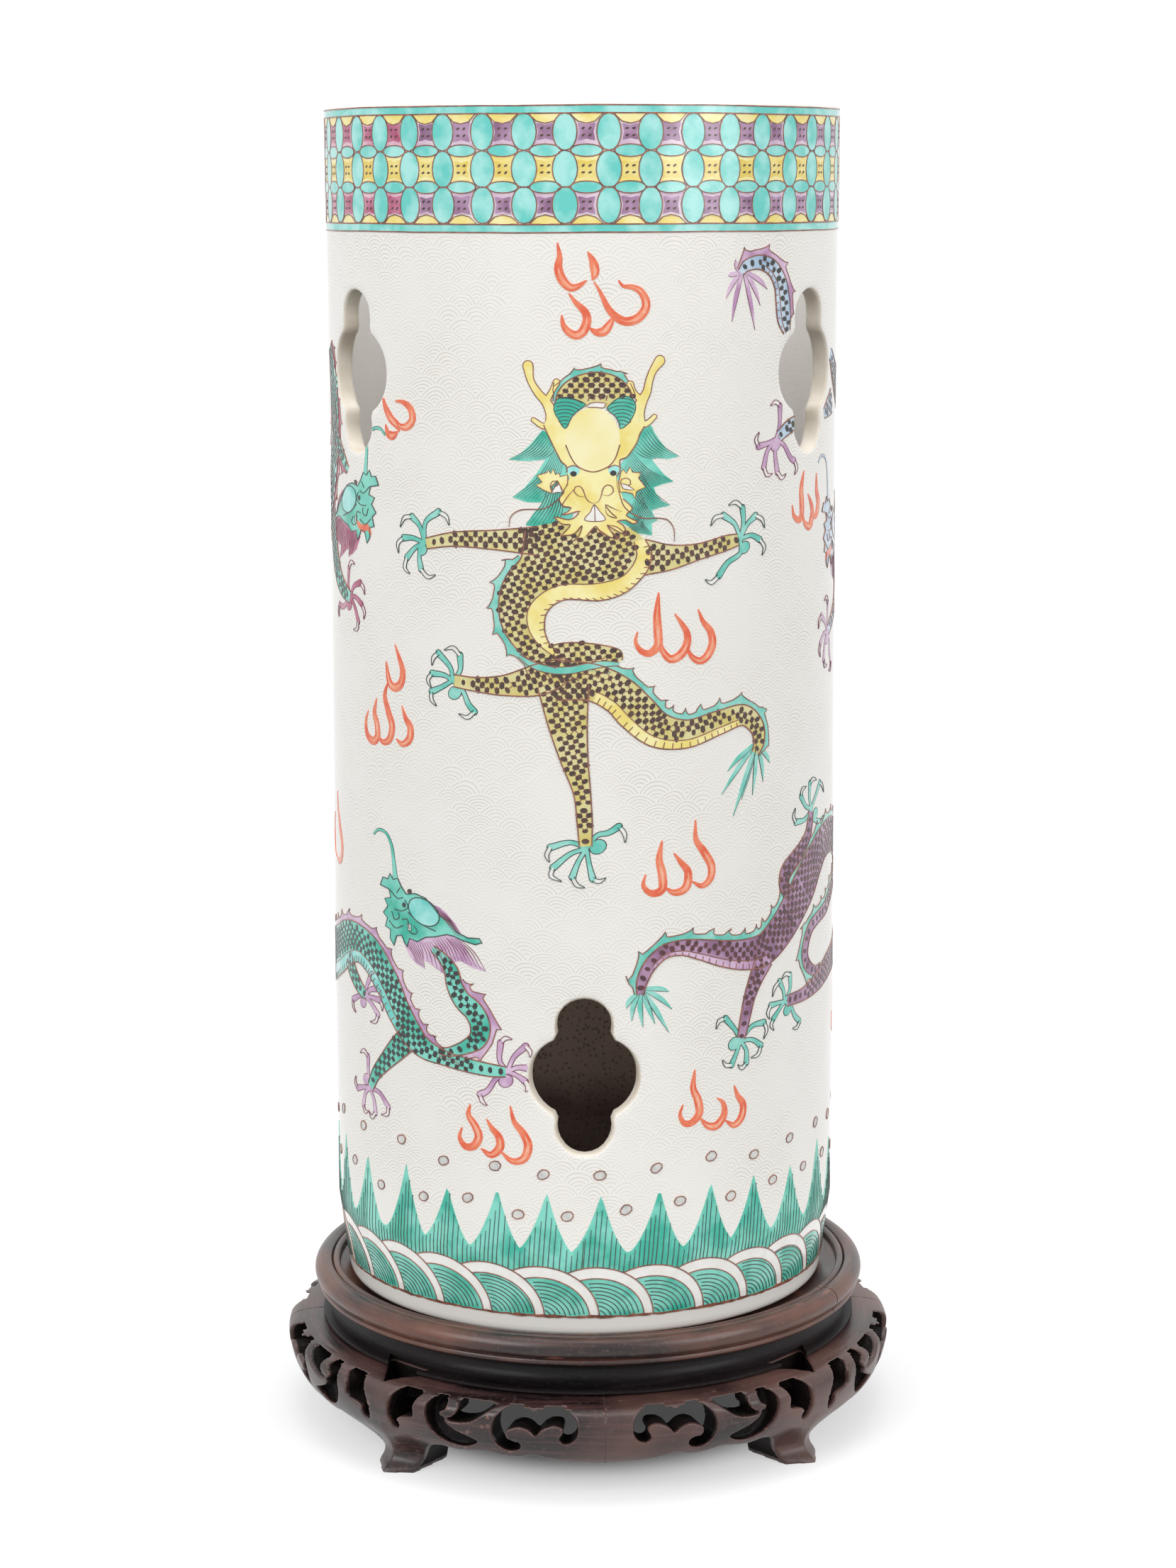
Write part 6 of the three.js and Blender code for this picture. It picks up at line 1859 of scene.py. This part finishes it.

# %% [markdown]
# ## The wood
# Old rosewood under a thin worn polish: nearly black, red-brown where hands and cloths rubbed it, and dull
# with specks of grey dust. The carved recesses are painted nearly black, and the waist under the rim darker,
# as painted shade. Its grain runs round the rings, so it is worked out from the azimuth and the radius, and
# fine fibres follow it.


# %% Wood finishes
def rosewood(name, dark, warm, worn, dusty, roughness, grain=1.0, wear=1.0, shine=0.4):
    """Dark wood whose grain runs round the stand, with rubbed edges and patches and specks of dust."""
    material, tree, shader, place = new_finish(name, roughness, 1.5)
    shader.inputs["Specular IOR Level"].default_value = shine
    shader.inputs["Coat Weight"].default_value = shine * 0.6
    shader.inputs["Coat Roughness"].default_value = 0.22
    parts = add_node(tree, "SeparateXYZ", {}, {"Vector": place})
    toward = add_node(tree, "Math", {"operation": "MULTIPLY", 1: -1.0}, {0: parts.outputs["Y"]})
    turn = add_node(tree, "Math", {"operation": "ARCTAN2"}, {0: parts.outputs["X"], 1: toward})
    flat = add_node(tree, "CombineXYZ", {}, {"X": parts.outputs["X"], "Y": parts.outputs["Y"]})
    radius = add_node(tree, "VectorMath", {"operation": "LENGTH"}, {0: flat}).outputs["Value"]
    along = add_node(tree, "Math", {"operation": "MULTIPLY", 1: 0.0045}, {0: turn})
    lie = add_node(tree, "CombineXYZ", {}, {"X": along, "Y": radius, "Z": parts.outputs["Z"]})
    figure = add_node(tree, "TexNoise", {"Scale": 430.0, "Detail": 4.0, "Distortion": 0.8}, {"Vector": lie})
    fibre = add_node(tree, "TexNoise", {"Scale": 1500.0, "Detail": 3.0}, {"Vector": lie})
    zones = add_node(tree, "TexNoise", {"Scale": 26.0, "Detail": 3.0}, {"Vector": place})
    streak = add_node(tree, "MapRange", {"From Min": 0.42, "From Max": 0.64}, {"Value": figure})
    colour = add_node(tree, "MixRGB", {"Color1": linear(dark), "Color2": linear(warm)}, {"Fac": streak})
    thread = add_node(tree, "MapRange", {"From Min": 0.42, "From Max": 0.62, "To Max": 0.75},
        {"Value": fibre})
    colour = add_node(tree, "MixRGB", {"blend_type": "MULTIPLY", "Color2": linear("#5a4743")},
        {"Fac": thread, "Color1": colour})
    bend = add_node(tree, "NewGeometry").outputs["Pointiness"]
    edge = add_node(tree, "MapRange", {"From Min": 0.515, "From Max": 0.6, "To Max": 0.75 * wear},
        {"Value": bend})
    rubbed = add_node(tree, "MapRange", {"From Min": 0.48, "From Max": 0.68, "To Max": 0.65 * wear},
        {"Value": zones})
    touched = add_node(tree, "Math", {"operation": "MAXIMUM"}, {0: edge, 1: rubbed})
    colour = add_node(tree, "MixRGB", {"Color2": linear(worn)}, {"Fac": touched, "Color1": colour})
    speckle = add_node(tree, "TexNoise", {"Scale": 900.0, "Detail": 4.0}, {"Vector": place})
    dust = add_node(tree, "MapRange", {"From Min": 0.56, "From Max": 0.72, "To Max": 0.55},
        {"Value": speckle})
    dust = add_node(tree, "Math", {"operation": "MULTIPLY", 1: 0.8}, {0: dust})
    colour = add_node(tree, "MixRGB", {"Color2": linear(dusty)}, {"Fac": dust, "Color1": colour})
    join(tree, colour, shader.inputs["Base Color"])
    polish = add_node(tree, "MapRange",
        {"From Min": 0.3, "From Max": 0.7, "To Min": roughness - 0.07, "To Max": roughness + 0.14},
        {"Value": zones})
    join(tree, polish, shader.inputs["Roughness"])
    height = add_node(tree, "Math", {"operation": "MULTIPLY_ADD", 1: 0.5}, {0: figure, 2: fibre})
    bump = add_node(tree, "Bump", {"Strength": 0.35 * grain, "Distance": 0.15 * MM}, {"Height": height})
    join(tree, bump, shader.inputs["Normal"])
    return material


apron_wood = rosewood("carved_rosewood", "#211516", "#452e2d", "#735249", "#5c4f50", 0.33)
rim_wood = rosewood("rubbed_rosewood_rim", "#271514", "#513029", "#83523e", "#5f4c45", 0.33, grain=1.3,
    shine=0.45)
# The recess wood is unpolished, and painted nearly black as painted shade in the gouges, the piercings and
# the hollow behind the legs.
recess_wood_painted_shade = rosewood("unpolished_wood_painted_recess_shade", "#060404", "#130c0b", "#2a1d19", "#332a26", 0.7, 1.6, 0.4,
    0.12)
# The waist is dull, and painted darker than the other rosewood as painted shade under the rim's overhang.
waist_wood_painted_shade = rosewood("dull_rosewood_waist_painted_shade", "#0d090b", "#181113", "#2a1f20", "#2f2a2b", 0.5, 1.5, 0.6, 0.2)
floor_wood = rosewood("bare_panel_wood", "#2c201e", "#46322d", "#4f3b35", "#5a4d46", 0.66, grain=1.4,
    wear=0.4)
peg_wood = rosewood("bamboo_peg_wood", "#6d5135", "#8a6a48", "#94764f", "#6f5f4c", 0.6, grain=1.0, wear=0.5)
for piece in wood_pieces:
    finish = apron_wood if "leg" in piece.name else rim_wood if "rim" in piece.name else waist_wood_painted_shade
    dress(piece, finish)
    if "leg" in piece.name:
        piece.data.materials.append(recess_wood_painted_shade)
        # Faces sunk more than 1.1 mm behind the outer face get the nearly black recess wood: painted shade.
        for face in piece.data.polygons:
            x, y, z = face.center / MM
            outer = np.interp(z, [p[1] for p in face_line], [p[0] for p in face_line])
            face.material_index = int(1 < z < 22.8 and math.hypot(x, y) < outer - 1.1)
    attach(piece, "stand")
for name, node in nodes.items():
    if name == "floor_panel":
        node.material_slots[0].material = floor_wood
    elif "peg" in name or "dowel" in name:
        node.material_slots[0].material = peg_wood
print("woods:", [m.name for m in (apron_wood, rim_wood, waist_wood_painted_shade, recess_wood_painted_shade, floor_wood, peg_wood)])

# %% Sizes and finish
low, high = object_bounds()
sizes = {"cad": [list(cad_low), list(cad_high)], "visual": [list(low), list(high)]}
print("size of the dressed model in mm:", [round((b - a) / MM, 1) for a, b in zip(low, high)])
